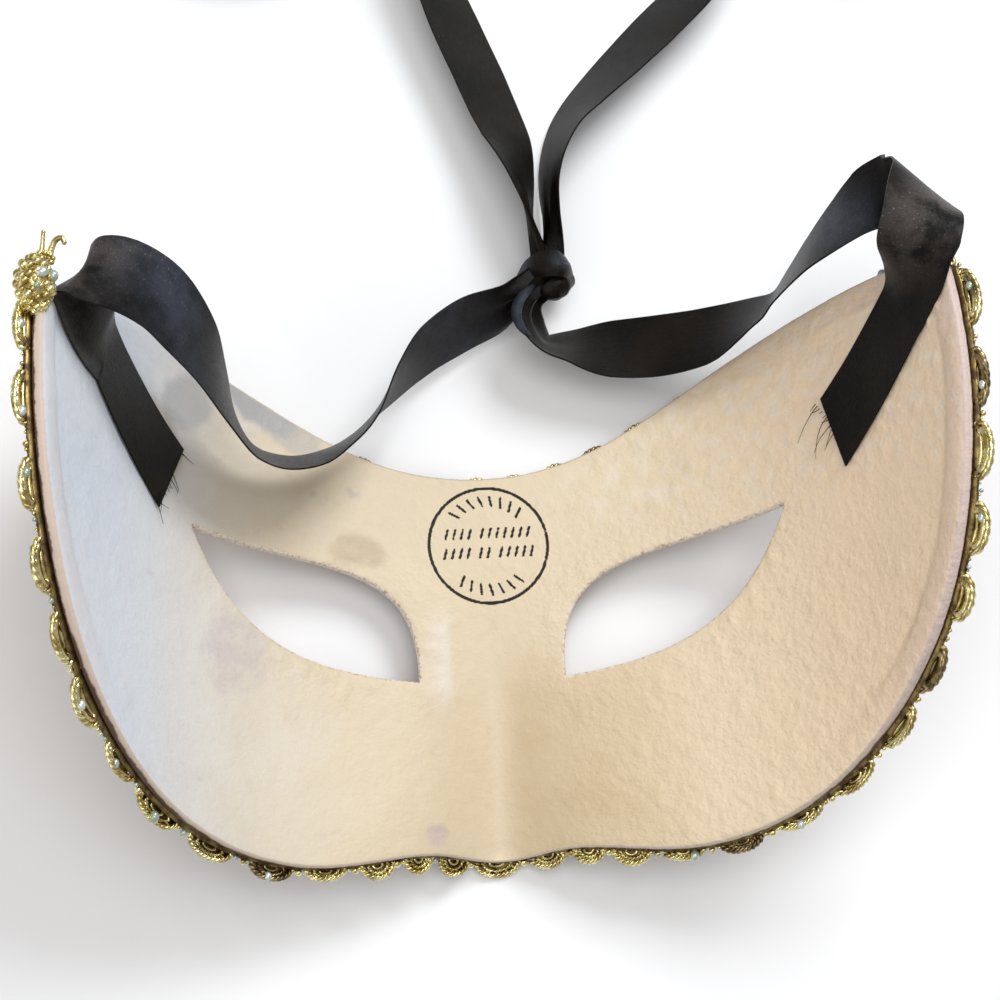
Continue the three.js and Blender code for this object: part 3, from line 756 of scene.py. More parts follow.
def ribbon(name, stations, gather, slant, seed, shine=()):
    """A satin band through its stations. gather is how much it is drawn together at its start and
    its end, and slant is how far the cut runs across the width there. shine lists the painted blue
    reflection and painted warm sheen on the satin: the run, its spread, across it, blue and warm."""
    run, middle, across, along = band_line(stations)
    through = np.cross(across, along)
    to_end = run[-1] - run
    pull = (gather[0] * np.exp(-(run / GATHER_REACH) ** 1.6)
            + gather[1] * np.exp(-(to_end / GATHER_REACH) ** 1.6))
    skew = slant[0] * np.exp(-run / SLANT_REACH) + slant[1] * np.exp(-to_end / SLANT_REACH)
    ripple = field([(v, seed * 7.3, 0) for v in run], 24, 3, seed)
    u = np.linspace(-1, 1, BAND_COLUMNS + 1)
    lines = []
    for w in u:
        rise = BAND_CURL * (1 - w * w) * (0.4 + ripple) + pull * 3.2 * np.cos(w * 6.2 + 0.7 + seed)
        edge = field([(v, w * 3 + seed * 3, 1.7) for v in run], 9, 2, seed) * 0.10 * abs(w)
        aside = RIBBON_WIDTH / 2 * (1 - pull) * w + edge
        lines.append(middle + across * aside[:, None] + through * rise[:, None]
                     + along * (skew * w)[:, None])
    top = clear_of_walls(np.stack(lines, 1))
    # The thickness follows the surface that the lines make.
    half = unit(np.cross(np.gradient(top, axis=1), np.gradient(top, axis=0))) * RIBBON_THICKNESS / 2
    across_at, run_at_point = np.tile(u, len(run)), np.repeat(run, len(u))
    flat = np.stack([across_at * RIBBON_WIDTH / 2, run_at_point], 1)
    obj = make_mesh(name, *plate(top + half, top - half), satin,
                    sheet=np.concatenate([flat, flat + (40.0, 0.0)]),
                    facts=shine_facts(run_at_point, across_at, shine))
    obj.data.set_sharp_from_angle(angle=BAND_SHARP_ANGLE)
    return obj, middle, run[-1]


# The ribbons in place

ribbon_right, right_line, right_length = ribbon(
    "satin_right", glued_stations(RIGHT_CUT) + RIGHT_ROUTE + RIGHT_END, (0, 0.62), (-2.5, 0), 1.0,
    ((50, 11, 5, 0.1, 1.0), (88, 8, -4, 0.9, 0.1), (114, 9, 6, 0.15, 0.05)))
ribbon_left, left_line, left_length = ribbon(
    "satin_left", glued_stations(LEFT_CUT) + LEFT_ROUTE + LEFT_END, (0, 0.6), (1.5, 0), 2.0,
    ((48, 9, 3, 0.0, 1.0), (68, 11, -5, 1.0, 0.1), (104, 8, 0, 0.2, 0.6),
     (160, 8, 3, 0.8, 0.1), (132, 6, -3, 0.35, 0.0)))
right_tail, right_tail_line, right_tail_length = ribbon(
    "satin_right_tail", RIGHT_TAIL_START + RIGHT_TAIL_ROUTE + coil_stations(RIGHT_COIL_AT, -1),
    (0.6, 0), (0, 5), 3.0)
left_tail, left_tail_line, left_tail_length = ribbon(
    "satin_left_tail", LEFT_TAIL_START + LEFT_TAIL_ROUTE + coil_stations(LEFT_COIL_AT, 1),
    (0.6, 0), (0, 5), 4.0)


# The knot

WRAP_THICKNESS = 0.45
WRAP_PARTS = 8
KNOT_SHARP_ANGLE = math.radians(48)


def wrap_band(stations, seed, bow=0.5, columns=5):
    """A crisp band of ribbon laid over the knot. Each station is a point of the band's middle, its
    width there and the way its face looks."""
    stations = np.array(stations)
    line = catmull(stations[:, :3], WRAP_PARTS)
    run = np.linspace(0, 1, len(line))
    width_and_face = values_at(run, np.linspace(0, 1, len(stations)), stations[:, 3:])
    wide = width_and_face[:, :1] / 2
    along = tangents(line)
    face = square_to(along, width_and_face[:, 1:])
    u = np.linspace(-1, 1, columns + 1)
    crease = field([(r * 30, w * 4, seed) for r in run for w in u], 5.0, 3, seed) * 0.22
    arch = bow * (1 - u**2) * wide + crease.reshape(len(run), len(u))
    top = (line[:, None] + np.cross(along, face)[:, None] * (wide * u)[..., None]
           + face[:, None] * arch[..., None])
    return plate(top, top - face[:, None] * WRAP_THICKNESS)


def creased(centre, radii, columns, rows, amount, seed):
    """A ball pushed in and out by soft creases."""
    points, faces = ball(centre, radii, columns, rows)
    away = unit(points - points.mean(0))
    return points + away * (field(points, 4.0, 4, seed) * amount)[:, None], faces


knot_parts = [
    creased((16.3, 74.6, 7.6), (4.6, 3.7, 5.6), 32, 22, 0.6, 1.0),
    # The upper wrap, from the lower left over to the right.
    wrap_band([(10.6, 73.4, 6.0, 3.0, -0.8, -0.2, 0.5), (12.0, 74.3, 10.4, 4.6, -0.5, -0.1, 0.8),
               (14.9, 74.9, 12.9, 5.8, -0.1, 0.1, 1), (17.7, 74.8, 13.1, 5.9, 0.2, 0.15, 1),
               (19.9, 74.2, 10.8, 4.6, 0.7, 0.1, 0.7), (21.4, 73.2, 6.2, 2.4, 1, 0, 0.2)],
              1.0, 0.3, 8),
    # Narrow folds above it, where the tails leave.
    wrap_band([(11.7, 75.4, 7.4, 1.6, -0.7, 0.3, 0.6), (12.9, 76.7, 10.2, 2.2, -0.3, 0.5, 0.8),
               (15.2, 77.5, 11.6, 2.3, 0, 0.6, 0.8), (17.6, 77.6, 11.0, 2.0, 0.3, 0.6, 0.7),
               (19.6, 76.6, 7.8, 1.4, 0.8, 0.5, 0.3)], 2.0),
    wrap_band([(12.4, 77.2, 6.6, 1.1, -0.6, 0.5, 0.5), (13.6, 78.5, 8.9, 1.5, -0.3, 0.7, 0.6),
               (15.9, 79.2, 9.9, 1.7, 0.1, 0.7, 0.6), (18.2, 78.6, 8.2, 1.5, 0.5, 0.6, 0.5),
               (19.2, 77.6, 5.6, 1.0, 0.8, 0.5, 0.3)], 3.0),
    # The lower lobe, tucked under the wrap and running down to the left.
    wrap_band([(21.3, 72.6, 7.6, 2.6, 0.7, -0.4, 0.6), (19.4, 71.1, 10.4, 4.0, 0.3, -0.4, 0.9),
               (17.1, 70.0, 11.6, 4.0, 0, -0.4, 0.9), (15.2, 69.1, 11.3, 3.0, -0.2, -0.5, 0.9),
               (14.0, 68.0, 9.2, 1.6, -0.4, -0.6, 0.6)], 4.0, 0.35, 8),
    # The rolled edge of the right ribbon where it turns up into the knot.
    wrap_band([(12.2, 70.2, 13.2, 1.2, -0.5, 0.2, 0.9), (10.3, 68.4, 14.3, 2.0, -0.5, 0.1, 0.9),
               (8.7, 66.1, 14.9, 2.3, -0.5, 0, 0.9), (8.2, 63.6, 14.9, 2.1, -0.5, -0.1, 0.9),
               (9.0, 61.3, 14.6, 1.6, -0.4, -0.3, 0.9), (10.8, 59.3, 14.2, 0.8, -0.2, -0.4, 0.9)],
              6.0),
    creased((17.4, 71.6, 6.6), (3.3, 2.6, 4.2), 24, 16, 0.4, 5.0),
]
knot_points, knot_faces = join_parts(knot_parts)
knot_x, knot_y, knot_z = knot_points.T
# Painted blue reflection on the knot's upper right and on its left side.
knot_shine = smoothstep(15.5, 19.5, knot_x) * smoothstep(72.5, 75.0, knot_y)
knot_shine = np.maximum(knot_shine, fall(10.5, 13.0, knot_x)) * 0.8
knot = make_mesh("satin_knot", knot_points, knot_faces, satin,
                 sheet=np.stack([knot_x + knot_z, knot_y], 1), facts={"blue_sheen": knot_shine})
knot.data.set_sharp_from_angle(angle=KNOT_SHARP_ANGLE)


# Frayed threads

THREAD_STEPS = 9
THREAD_RADII = (0.09, 0.04)


def frayed(name, cut, count, longest, seed):
    """Loose threads at the cut end of a glued ribbon, lying just above the mask's face."""
    hs, hy = cut[1]
    draw = random.Random(seed)
    parts = []
    for _ in range(count):
        w = draw.uniform(-1, 1) * RIBBON_WIDTH / 2
        length = draw.uniform(0.25, 1.0) ** 1.7 * longest
        turn = draw.uniform(-0.5, 0.5) + w * 0.05
        bend = draw.uniform(-0.07, 0.07)
        rise = draw.uniform(0.0, 0.16)
        s, y = glued_place(cut, 1.2, w)
        path = []
        for k in range(THREAD_STEPS + 1):
            t = k / THREAD_STEPS
            path.append(face_point(s, y, GLUE_LIFT + rise * length * t * (1.4 - t)))
            angle = math.atan2(-hy, -hs) + turn * min(1, 3 * t) + bend * k
            s += math.cos(angle) * length / THREAD_STEPS
            y += math.sin(angle) * length / THREAD_STEPS
        parts.append(tube(path, np.linspace(*THREAD_RADII, THREAD_STEPS + 1), 5))
    points, faces = join_parts(parts)
    return make_mesh(name, points, faces, satin, sheet=points[:, :2])


right_threads = frayed("satin_right_threads", RIGHT_CUT, 12, 9.0, 11)
left_threads = frayed("satin_left_threads", LEFT_CUT, 13, 7.5, 12)


# The sheet that the shell is made of

STAMP_AT = np.array([0.9, 18.6])
STAMP_RADIUS = 11.9
FINE_RADIUS = 13.2
FINE_GAP = 0.4
FINE_STEP = 0.3
FACE_STEP = 1.15
FRONT_STEP = 1.6
RIM_STEP = 0.8
EYE_STEP = 0.6
SHEET_CORNERS = ((-118, -46), (118, 62))
EDGE_ROUND = 0.6
EDGE_CLEAR = 0.55
AT_ONCE = 4000
TINY = 1e-12
SAME_PLACE = 1e-5


def in_turns(measure, points):
    """The measure of many points, some thousands at once to spare memory."""
    return np.concatenate([measure(points[k:k + AT_ONCE])
                           for k in range(0, len(points), AT_ONCE)])


def distance_to(points, line, closed=True):
    """Distance of each point from a line of the sheet."""
    a, b = (line, np.roll(line, -1, 0)) if closed else (line[:-1], line[1:])
    ab = b - a
    square = np.maximum((ab**2).sum(1), TINY)

    def nearest(p):
        t = np.clip(((p[:, None] - a) * ab).sum(2) / square, 0, 1)
        near = a + t[..., None] * ab
        return np.sqrt(((p[:, None] - near) ** 2).sum(2)).min(1)

    return in_turns(nearest, points)


def inside(points, loop):
    x1, y1 = loop.T
    x2, y2 = np.roll(x1, -1), np.roll(y1, -1)

    def crossings_odd(p):
        x, y = p[:, :1], p[:, 1:]
        at = (x2 - x1) * (y - y1) / np.where(y2 == y1, TINY, y2 - y1) + x1
        return (((y1 > y) != (y2 > y)) & (x < at)).sum(1) % 2 == 1

    return in_turns(crossings_odd, points)


def on_sheet(points, borders):
    """Which points lie inside the rim and outside both eyes."""
    rim, *eyes = borders
    return inside(points, rim) & ~np.any([inside(points, eye) for eye in eyes], axis=0)


def eye_distance(points):
    return np.minimum(distance_to(points, right_eye), distance_to(points, left_eye))


def left_of(along):
    """The ways to the left of ways on the sheet."""
    return np.stack([-along[:, 1], along[:, 0]], 1)


def hexagons(low, high, step):
    rows = np.arange(low[1], high[1], step * math.sqrt(3) / 2)
    columns = np.arange(low[0], high[0], step)
    return np.concatenate([
        np.stack([columns + (step / 2 if i % 2 else 0), np.full(len(columns), y)], 1)
        for i, y in enumerate(rows)])


def turned(loop, way):
    """The loop, running anticlockwise where way is 1 and clockwise where it is -1."""
    x, y = loop.T
    area = np.sum(x * np.roll(y, -1) - y * np.roll(x, -1))
    return loop if area * way > 0 else loop[::-1]


# Every loop runs so that the sheet is on its left.
rim_loop = turned(even(whole_rim, RIM_STEP), 1)
right_eye = turned(even(eye_loop, EYE_STEP), -1)
left_eye = turned(right_eye * (-1, 1), -1)
loops = [rim_loop, right_eye, left_eye]
NOSE_CREASE = np.stack([np.zeros(50), np.linspace(4.5, -42.6, 50)], 1)


def chain(start, count, closed=True):
    """The edges from each of some points to the next."""
    return [(start + i, start + (i + 1) % count) for i in range(count if closed else count - 1)]


def sheet_mesh(step, fine):
    """Triangles over the sheet between its rim and eyes, set in by the rounding of the edges. The
    fine one has small triangles at the stamp and a line of edges along the nose's crease."""
    borders = [loop + left_of(tangents(loop, True)) * EDGE_ROUND for loop in loops]
    fill = hexagons(*SHEET_CORNERS, step)
    if fine:
        close = hexagons(STAMP_AT - FINE_RADIUS, STAMP_AT + FINE_RADIUS, FINE_STEP)
        close = close[np.hypot(*(close - STAMP_AT).T) < FINE_RADIUS]
        fill = fill[np.hypot(*(fill - STAMP_AT).T) > FINE_RADIUS + FINE_GAP]
        fill = np.concatenate([fill, close])
    keep = on_sheet(fill, borders)
    for border in borders:
        keep &= distance_to(fill, border) > EDGE_CLEAR
    if fine:
        keep &= distance_to(fill, NOSE_CREASE, False) > EDGE_CLEAR
    lines = borders + ([NOSE_CREASE] if fine else [])
    edges = []
    for k, line in enumerate(lines):
        edges += chain(sum(map(len, lines[:k])), len(line), k < len(borders))
    points = np.concatenate(lines + [fill[keep]])
    made, _, triangles, *_ = geometry.delaunay_2d_cdt([Vector(p) for p in points], edges, [], 0,
                                                      SAME_PLACE, False)
    made, triangles = np.array([(p.x, p.y) for p in made]), np.array(triangles)
    assert len(made) == len(points)
    triangles = triangles[on_sheet(made[triangles].mean(1), borders)]
    a, b, c = made[triangles].transpose(1, 0, 2)
    wrong = np.cross(b - a, c - a) < 0
    triangles[wrong] = triangles[wrong][:, ::-1]
    return made, triangles


# The marks inside the mask

STROKE_HALF_WIDTH = 0.24
ROW_PITCH = 1.55
ROW_LEAN = 0.28
ROW_HALF_HEIGHT = 0.95
ARC_RADII = np.array([8.2, 10.2])
ARC_LEAN = np.array([-0.03, 0.03])


def stamp_strokes():
    """The two ends of each plain stroke from the middle of the stamp: straight rows of short
    strokes, all slanted alike and in groups, and two arcs of them inside the ring."""
    for height, groups in ((2.5, (4, 7)), (-1.6, (4, 2, 5))):
        total = sum(groups) + 0.6 * (len(groups) - 1)
        x = -total * ROW_PITCH / 2
        for group in groups:
            for _ in range(group):
                yield ((x + 0.75 - ROW_LEAN, height - ROW_HALF_HEIGHT),
                       (x + 0.75 + ROW_LEAN, height + ROW_HALF_HEIGHT))
                x += ROW_PITCH
            x += 0.6 * ROW_PITCH
    for middle, count, spread in ((90, 8, 78), (-90, 7, 66)):
        for k in range(count):
            turn = math.radians(middle + spread * (k / (count - 1) - 0.5) * 1.15) + ARC_LEAN
            yield np.stack([ARC_RADII * np.cos(turn), ARC_RADII * np.sin(turn)], 1)


def ink_at(points):
    """How much ink the ring and its rows of plain strokes leave at places of the sheet."""
    p = points - STAMP_AT
    ink = fall(0.18, 0.40, np.abs(np.hypot(*p.T) - STAMP_RADIUS))
    for ends in stamp_strokes():
        a, b = np.array(ends, float)
        t = np.clip(((p - a) @ (b - a)) / ((b - a) @ (b - a)), 0, 1)
        gap = np.linalg.norm(p - a - t[:, None] * (b - a), axis=1)
        ink = np.maximum(ink, fall(STROKE_HALF_WIDTH * 0.6, STROKE_HALF_WIDTH * 1.3, gap))
    worn = field(points, 1.1, 2, 3.0)
    patchy = field(points, 5.0, 2, 8.0)
    return ink * np.clip(1.0 + 0.45 * patchy + 0.5 * worn, 0.3, 1)


def blob(points, at, size, turn=0.0):
    """A soft patch with an uneven edge."""
    p = points - np.array(at)
    c, s = math.cos(turn), math.sin(turn)
    x, y = p[:, 0] * c + p[:, 1] * s, -p[:, 0] * s + p[:, 1] * c
    away = np.hypot(x / size[0], y / size[1]) + 0.22 * field(points, 6.0, 3, at[0] * 0.13)
    return fall(0.75, 1.1, away)


def strongest(points, patches):
    """Several soft patches: each one's middle, its size, its turn and its strength."""
    return np.maximum.reduce([blob(points, at, size, turn) * strength
                              for at, size, turn, strength in patches])


GREY_PATCHES = [((-63, 46.0), (7.5, 6.0), 0.5, 0.7), ((-45, 48.0), (10.5, 5.0), -0.6, 1.0),
                ((-38, 42.0), (7.0, 4.0), -0.6, 0.6)]
PENCIL_MARKS = [(at, (1.0, 0.28), 0.35, 0.55) for at in (
    (-34.6, 29.4), (-32.2, 30.3), (-29.6, 29.3), (-27.2, 30.4), (-25.6, 29.6))]
TAN_PATCHES = [((-25.5, 18.0), (6.5, 3.6), -0.3, 1.0), ((-70, 38.0), (4.5, 9.0), 0.5, 0.8)]
WHITE_PATCHES = [((-50, 45.5), (6.0, 3.2), -0.5, 0.7), ((-69, 50.5), (4.0, 3.0), 0.5, 0.6),
                 ((-47, -17.0), (17.0, 12.0), 0.2, 0.30)]


def marks(points, eye):
    """The stains, shades and worn places of the inner face, for its paint."""
    s, y = points.T
    streak = field(points * (1.0, 0.3), 1.6, 3, 11.0)
    pale_streak = (smoothstep(-14.5, -8.8, s + streak) * fall(-8.6, -7.4, s)
                   * smoothstep(-16, -8, y) * fall(0, 8, y + 2 * streak))
    pale_brow = (smoothstep(-0.2, 0.5, field(points, 3.2, 3, 15.0)) * smoothstep(8, 28, s)
                 * smoothstep(14, 28, y) * 0.5)
    smudge = blob(points, (-13, -38.5), (2.4, 2.2))
    side_walls = smoothstep(70, 96, s) * 0.9 + smoothstep(84, 104, -s) * 0.4
    peel = smoothstep(2, 22, s) * (0.55 + 0.45 * fall(0, 20, y)) + fall(2, 12, eye) * 0.5
    return {
        "side": s / 110, "grey": strongest(points, GREY_PATCHES + PENCIL_MARKS),
        "white": np.maximum.reduce([pale_streak, pale_brow, strongest(points, WHITE_PATCHES)]),
        "lilac": np.maximum(smudge * 0.6, side_walls), "peel": np.clip(peel, 0.12, 1),
        "shade": smoothstep(0.6, 5.5, s) * fall(22, 44, s) * fall(-16, 4, y),
        "scuff": blob(points, (-53, -3.0), (9.0, 8.0), 0.3),
        "tan": strongest(points, TAN_PATCHES), "smudge": smudge,
    }


def inner_relief(points, rim, eye):
    """Low relief of the painted paper: the crease of the nose, a folded strip along the side
    rims, brush lumps and drips."""
    s, y = points.T
    down = np.clip((NOSE_TOP_Y - y) / (NOSE_TOP_Y - NOSE_TIP_Y), 0, 1)
    crease = -0.95 * np.sqrt(down) * smoothstep(0.1, 0.3, down) * np.exp(
        -np.sqrt(s**2 + 0.04) / 2.6)
    rough = field(points, 14, 3, 2.0) * 0.18
    right_cheek = smoothstep(5, 30, s) * fall(-5, 18, y)
    below_eye = fall(1.5, 9.0, eye) * fall(8, 20, y)
    brow_right = smoothstep(5, 25, s) * smoothstep(16, 30, y) * 1.1
    amount = 0.08 + 0.22 * np.clip(right_cheek + below_eye + brow_right, 0, 1.2)
    bumps = np.clip(field(points, 2.6, 3, 5.0) - 0.05, 0, 1) * amount * 1.9
    drips = np.clip(field(points * (1.0, 0.38), 1.9, 2, 9.0) - 0.18, 0, 1) * below_eye * 0.6
    strip_edge = 5.0 + 0.5 * field(points, 9, 2, 4.0)
    strip = fall(strip_edge - 0.9, strip_edge + 0.9, rim) * 0.36
    strip *= np.maximum(smoothstep(25, 60, s) * fall(30, 50, y), smoothstep(75, 95, -s) * 0.8)
    streak = smoothstep(-11.5, -8.4, s) * fall(-8.3, -7.6, s)
    streak *= smoothstep(-14, -9, y) * fall(3, 8, y) * 0.16
    pad = blob(points, (45.0, -42.4), (2.8, 1.3)) * 0.6
    return crease + rough + bumps + drips + strip + streak + pad


# The shell

# How far each row of points round an edge is set in, and its depth below the inner face.
EDGE_PROFILE = [(0.30, -0.10), (0.08, -0.34), (0.0, -0.72), (0.0, -1.28),
                (0.08, 0.34 - SHELL_THICKNESS), (0.30, 0.10 - SHELL_THICKNESS)]
FAR_FROM_EDGE = 9.0


def seam(first, second):
    """The faces between two closed rows of points."""
    return [(first[n], first[n - 1], second[n - 1], second[n]) for n in range(len(first))]


def edge_rows(index, loop):
    """The rounded and slightly ragged edge round one loop: the places and depths of its rows."""
    rag, grain_height = (0.10, 0.05) if index == 0 else (0.11, 0.06)
    count = len(loop)
    ragged = field(np.column_stack([loop, np.zeros(count)]), 1.3, 3, 7.0 + index) * rag
    for inset, depth in EDGE_PROFILE:
        grain = field(np.column_stack([loop, np.full(count, depth * 2.0)]), 0.9, 2,
                      3.0 + index) * grain_height
        set_in = np.maximum(inset + ragged * 0.5 + grain, -0.12)
        yield loop + left_of(tangents(loop, True)) * set_in[:, None], depth


def shell_piece():
    top, top_faces = sheet_mesh(FACE_STEP, True)
    low, low_faces = sheet_mesh(FRONT_STEP, False)
    rim, eye = distance_to(top, rim_loop), eye_distance(top)
    fade = smoothstep(EDGE_ROUND, EDGE_ROUND + 1.2, np.minimum(rim, eye))
    relief = inner_relief(top, rim, eye) * (0.35 + 0.65 * fade)
    low_rim = distance_to(low, rim_loop)
    low_relief = field(low, 10, 3, 6.0) * 0.10 * smoothstep(EDGE_ROUND, 3, low_rim)
    points = [face_point(*top.T, relief), face_point(*low.T, -SHELL_THICKNESS - low_relief)]
    faces = [*map(tuple, top_faces), *map(tuple, low_faces[:, ::-1] + len(top))]
    # For each vertex: its place on the sheet, its depth as a share of the thickness, whether it
    # is on a cut edge, and how far it is from the rim and from an eye.
    sheets = [top, low]
    told = [np.stack([0 * rim, 0 * rim, rim, eye]),
            np.stack([1 + 0 * low_rim, 0 * low_rim, low_rim, eye_distance(low)])]
    base, start = 0, len(top) + len(low)
    for index, loop in enumerate(loops):
        count = len(loop)
        before = np.arange(count) + base
        last = before + len(top)
        from_edges = (0.0, FAR_FROM_EDGE) if index == 0 else (FAR_FROM_EDGE, 0.0)
        for at, depth in edge_rows(index, loop):
            points.append(face_point(*at.T, np.full(count, depth)))
            sheets.append(at)
            row = (-depth / SHELL_THICKNESS, 1.0, *from_edges)
            told.append(np.repeat(np.array(row)[:, None], count, 1))
            now = np.arange(count) + start
            faces += seam(before, now)
            before = now
            start += count
        faces += seam(before, last)
        base += count
    sheets = np.concatenate(sheets)
    outer, cut, rim, eye = np.concatenate(told, axis=1)
    facts = {"outer": outer, "cut": cut, "rim": rim, "eye": eye,
             "ink": np.where(outer > 0, 0, ink_at(sheets)), **marks(sheets, eye)}
    return make_mesh("mask_shell_papier", np.concatenate(points), faces, paper, sheet=sheets,
                     facts=facts)


shell = shell_piece()


# The gold braid

BRAID_INSIDE = 5.5
BRAID_GAP = 0.3
TAPE_THICKNESS = 0.7
TAPE_POINTS = 1200
TAPE_REACH = 0.15
SCALLOPS = 50
SCALLOP_SHORTEST = 0.54
SCALLOP_SPREAD = (5, 70)
BROW_SETBACK = 1.9
WALL_FLARE = 0.55
LOWEST = 0.06
BRAID_STEP = 0.5
LOOK_AHEAD = 5.0
WEB_DEPTHS = (3.30, 3.75)

# The rim from the middle of the brow, and the braid's own measure along it: its scallops are
# pushed together in the middle.
braid_rim = even(whole_rim, BRAID_STEP)
braid_rim = np.concatenate([braid_rim, braid_rim[:1]])
rim_run = run_of(braid_rim)
RIM_LENGTH = rim_run[-1]
spread = smoothstep(*SCALLOP_SPREAD, np.abs(braid_rim[1:, 0]))
scallop_length = SCALLOP_SHORTEST + (1 - SCALLOP_SHORTEST) * spread
rim_phase = np.concatenate([[0], np.cumsum(np.diff(rim_run) / scallop_length)])
rim_phase *= SCALLOPS / rim_phase[-1]


def run_at(phase):
    """How far along the rim the braid's phase is reached: whole numbers are scallops' tops."""
    turns = np.floor(phase / SCALLOPS)
    return np.interp(phase - turns * SCALLOPS, rim_phase, rim_run) + turns * RIM_LENGTH


def rim_place(run):
    return values_at(np.mod(run, RIM_LENGTH), rim_run, braid_rim)


def rim_frame(run):
    """At distances along the rim: its place on the sheet, the way out of the sheet, the way
    beyond the edge and the inner face's normal."""
    run = np.atleast_1d(np.asarray(run, float))
    p = rim_place(run)
    along = unit(rim_place(run + LOOK_AHEAD) - rim_place(run - LOOK_AHEAD))
    out = left_of(along)
    beyond = unit(inner_point(*(p + out).T) - inner_point(*p.T))
    return p, out, beyond, inner_normal(*p.T)


def braid_place(run, reach, depth):
    """Points of the braid: reach beyond the rim, or inside it where negative, at a depth below
    the inner face. On the walls it flares away from them, and along the brow it is set back."""
    p, out, beyond, normal = rim_frame(run)
    brow = smoothstep(0.3, 0.7, out[:, 1]) * fall(70, 96, np.abs(p[:, 0]))
    reach = np.broadcast_to(reach, len(p)) - BROW_SETBACK * brow
    depth = depth + WALL_FLARE * (1 - normal[:, 2]) * np.maximum(reach + 0.8, 0)
    within = p + out * np.minimum(reach, 0)[:, None]
    made = face_point(*within.T, -depth) + beyond * np.maximum(reach, 0)[:, None]
    made[:, 2] = np.maximum(made[:, 2], LOWEST)
    return made


def draw_scallop(k, draw):
    """The measures of one scallop, each a little different from the next."""
    long = run_at(k + 0.5) - run_at(k - 0.5)
    run = float(run_at(k + draw.uniform(-0.05, 0.05)))
    place, _, _, normal = rim_frame(run)
    s, y = place[0]
    steep = float(smoothstep(0.25, 0.75, 1 - normal[0, 2]))
    low_cheek = smoothstep(22, 36, abs(s)) * (1 - steep) * (y < 0)
    out = draw.choice((3.0, 2.9, 2.7, 2.9, 2.5)) * draw.uniform(0.92, 1.04)
    out *= 1 - low_cheek * draw.uniform(0.15, 0.5) - steep * draw.uniform(0.05, 0.3)
    return {
        "run": run, "half": 0.38 * long * draw.uniform(0.85, 1.08) * (1 - 0.1 * steep),
        "out": out, "steep": steep, "lift": draw.uniform(-0.15, 0.2), "dull": draw.random() < 0.16,
        "pearl": draw.random() < 0.25 + 0.35 * steep, "pearl_at": draw.uniform(-0.6, 0.6),
        "up": normal[0], "neck": run_at(k + 0.5)}


def fan_line(scallop, reach, half, depth, steps, closed=False):
    """A half oval from neck to neck past the edge, or a closed oval, on the braid."""
    turn = (np.linspace(0, 2 * np.pi, steps, endpoint=False) if closed
            else np.linspace(-0.12, 1.12, steps) * np.pi)
    out = reach[0] + reach[1] * np.sin(turn)
    return braid_place(scallop["run"] + half * scallop["half"] * np.cos(turn), out,
                       depth + scallop["lift"])


def twisted(path, ply, around, pitch):
    """Two strands twisted round each other along a path."""
    along = tangents(path)
    side = unit(np.cross(along, (0.1, 0.2, 1.0)))
    up = np.cross(side, along)
    strands = []
    for start in (0, np.pi):
        turn = (run_of(path) * 2 * np.pi / pitch + start)[:, None]
        strands.append(tube(path + (side * np.cos(turn) + up * np.sin(turn)) * around, ply, 6))
    return strands


def braid_tape():
    """The woven tape that carries the loops."""
    run = np.linspace(0, RIM_LENGTH, TAPE_POINTS, endpoint=False)
    top_depth = SHELL_THICKNESS + BRAID_GAP
    ribs = 0.10 * np.sin(run * 2 * np.pi / 1.1)
    wave = 0.30 * np.sin(run * 2 * np.pi / 5.1)
    edges = [-BRAID_INSIDE + wave, -3.5, -1.5, TAPE_REACH + 0.25 * wave]
    rows = [braid_place(run, reach, top_depth) for reach in edges]
    rows += [braid_place(run, reach, top_depth + TAPE_THICKNESS + ribs) for reach in edges[::-1]]
    return np.stack(rows, 1).reshape(-1, 3), ring_faces(TAPE_POINTS, len(rows), True)


def web(scallop):
    """The thin dark web that fills a scallop behind its loops."""
    points, faces = plate(*(np.stack([
        fan_line(scallop, (-0.6 + 0.4 * r, (scallop["out"] - 0.1) * r), 0.35 + 0.6 * r, depth, 18)
        for r in (0.0, 0.35, 0.7, 1.0)]) for depth in WEB_DEPTHS))
    return points, [face[::-1] for face in faces]


def scallop_cords(scallop):
    """The gold cords of one scallop, fatter and smoother on the side walls."""
    out, steep = scallop["out"], scallop["steep"]

    def cord(reach, half, depth, steps, radius, sides, closed=False, flat=0.8):
        line = fan_line(scallop, reach, half, depth, steps, closed)
        return tube(line, radius, sides, closed, scallop["up"], flat)

    parts = twisted(fan_line(scallop, (-0.2, out), 1, 3.0, 44),
                    0.34 + 0.14 * steep, 0.32 - 0.1 * steep, 1.9 + 1.5 * steep)
    if steep > 0.3:
        parts.append(cord((0.2, 0.55 * out), 0.72, 3.0, 24, 0.62 + 0.2 * steep, 8))
        parts.append(cord((-1.2, 0.5 * out), 0.85, 3.2, 24, 0.6, 8))
    else:
        parts += twisted(fan_line(scallop, (0.1, 0.58 * out), 0.62, 3.02, 22), 0.25, 0.24, 1.5)
        parts.append(cord((0.15, 0.26 * out), 0.3, 3.05, 14, 0.36, 6, True, 0.75))
        for ray in (-0.8, -0.4, 0.0, 0.4, 0.8):
            turn = np.pi / 2 + ray * 1.35
            share = np.linspace(0.62, 0.92, 4)
            spot = scallop["run"] + share * scallop["half"] * math.cos(turn)
            reach = share * out * math.sin(turn)
            parts.append(tube(braid_place(spot, reach, 3.08 + scallop["lift"]), 0.24, 5))
    parts.append(cord((-3.1, 1.9), 0.95, 3.35, 22, 0.55, 6, True))
    return parts


def bead(run, reach, depth, radius, stretch=(1, 1, 1), columns=10, rows=7):
    """A ball on the braid, clear of the floor."""
    centre = braid_place(run, reach, depth)[0]
    centre[2] = max(centre[2], radius + LOWEST)
    return ball(centre, radius * np.array(stretch), columns, rows)


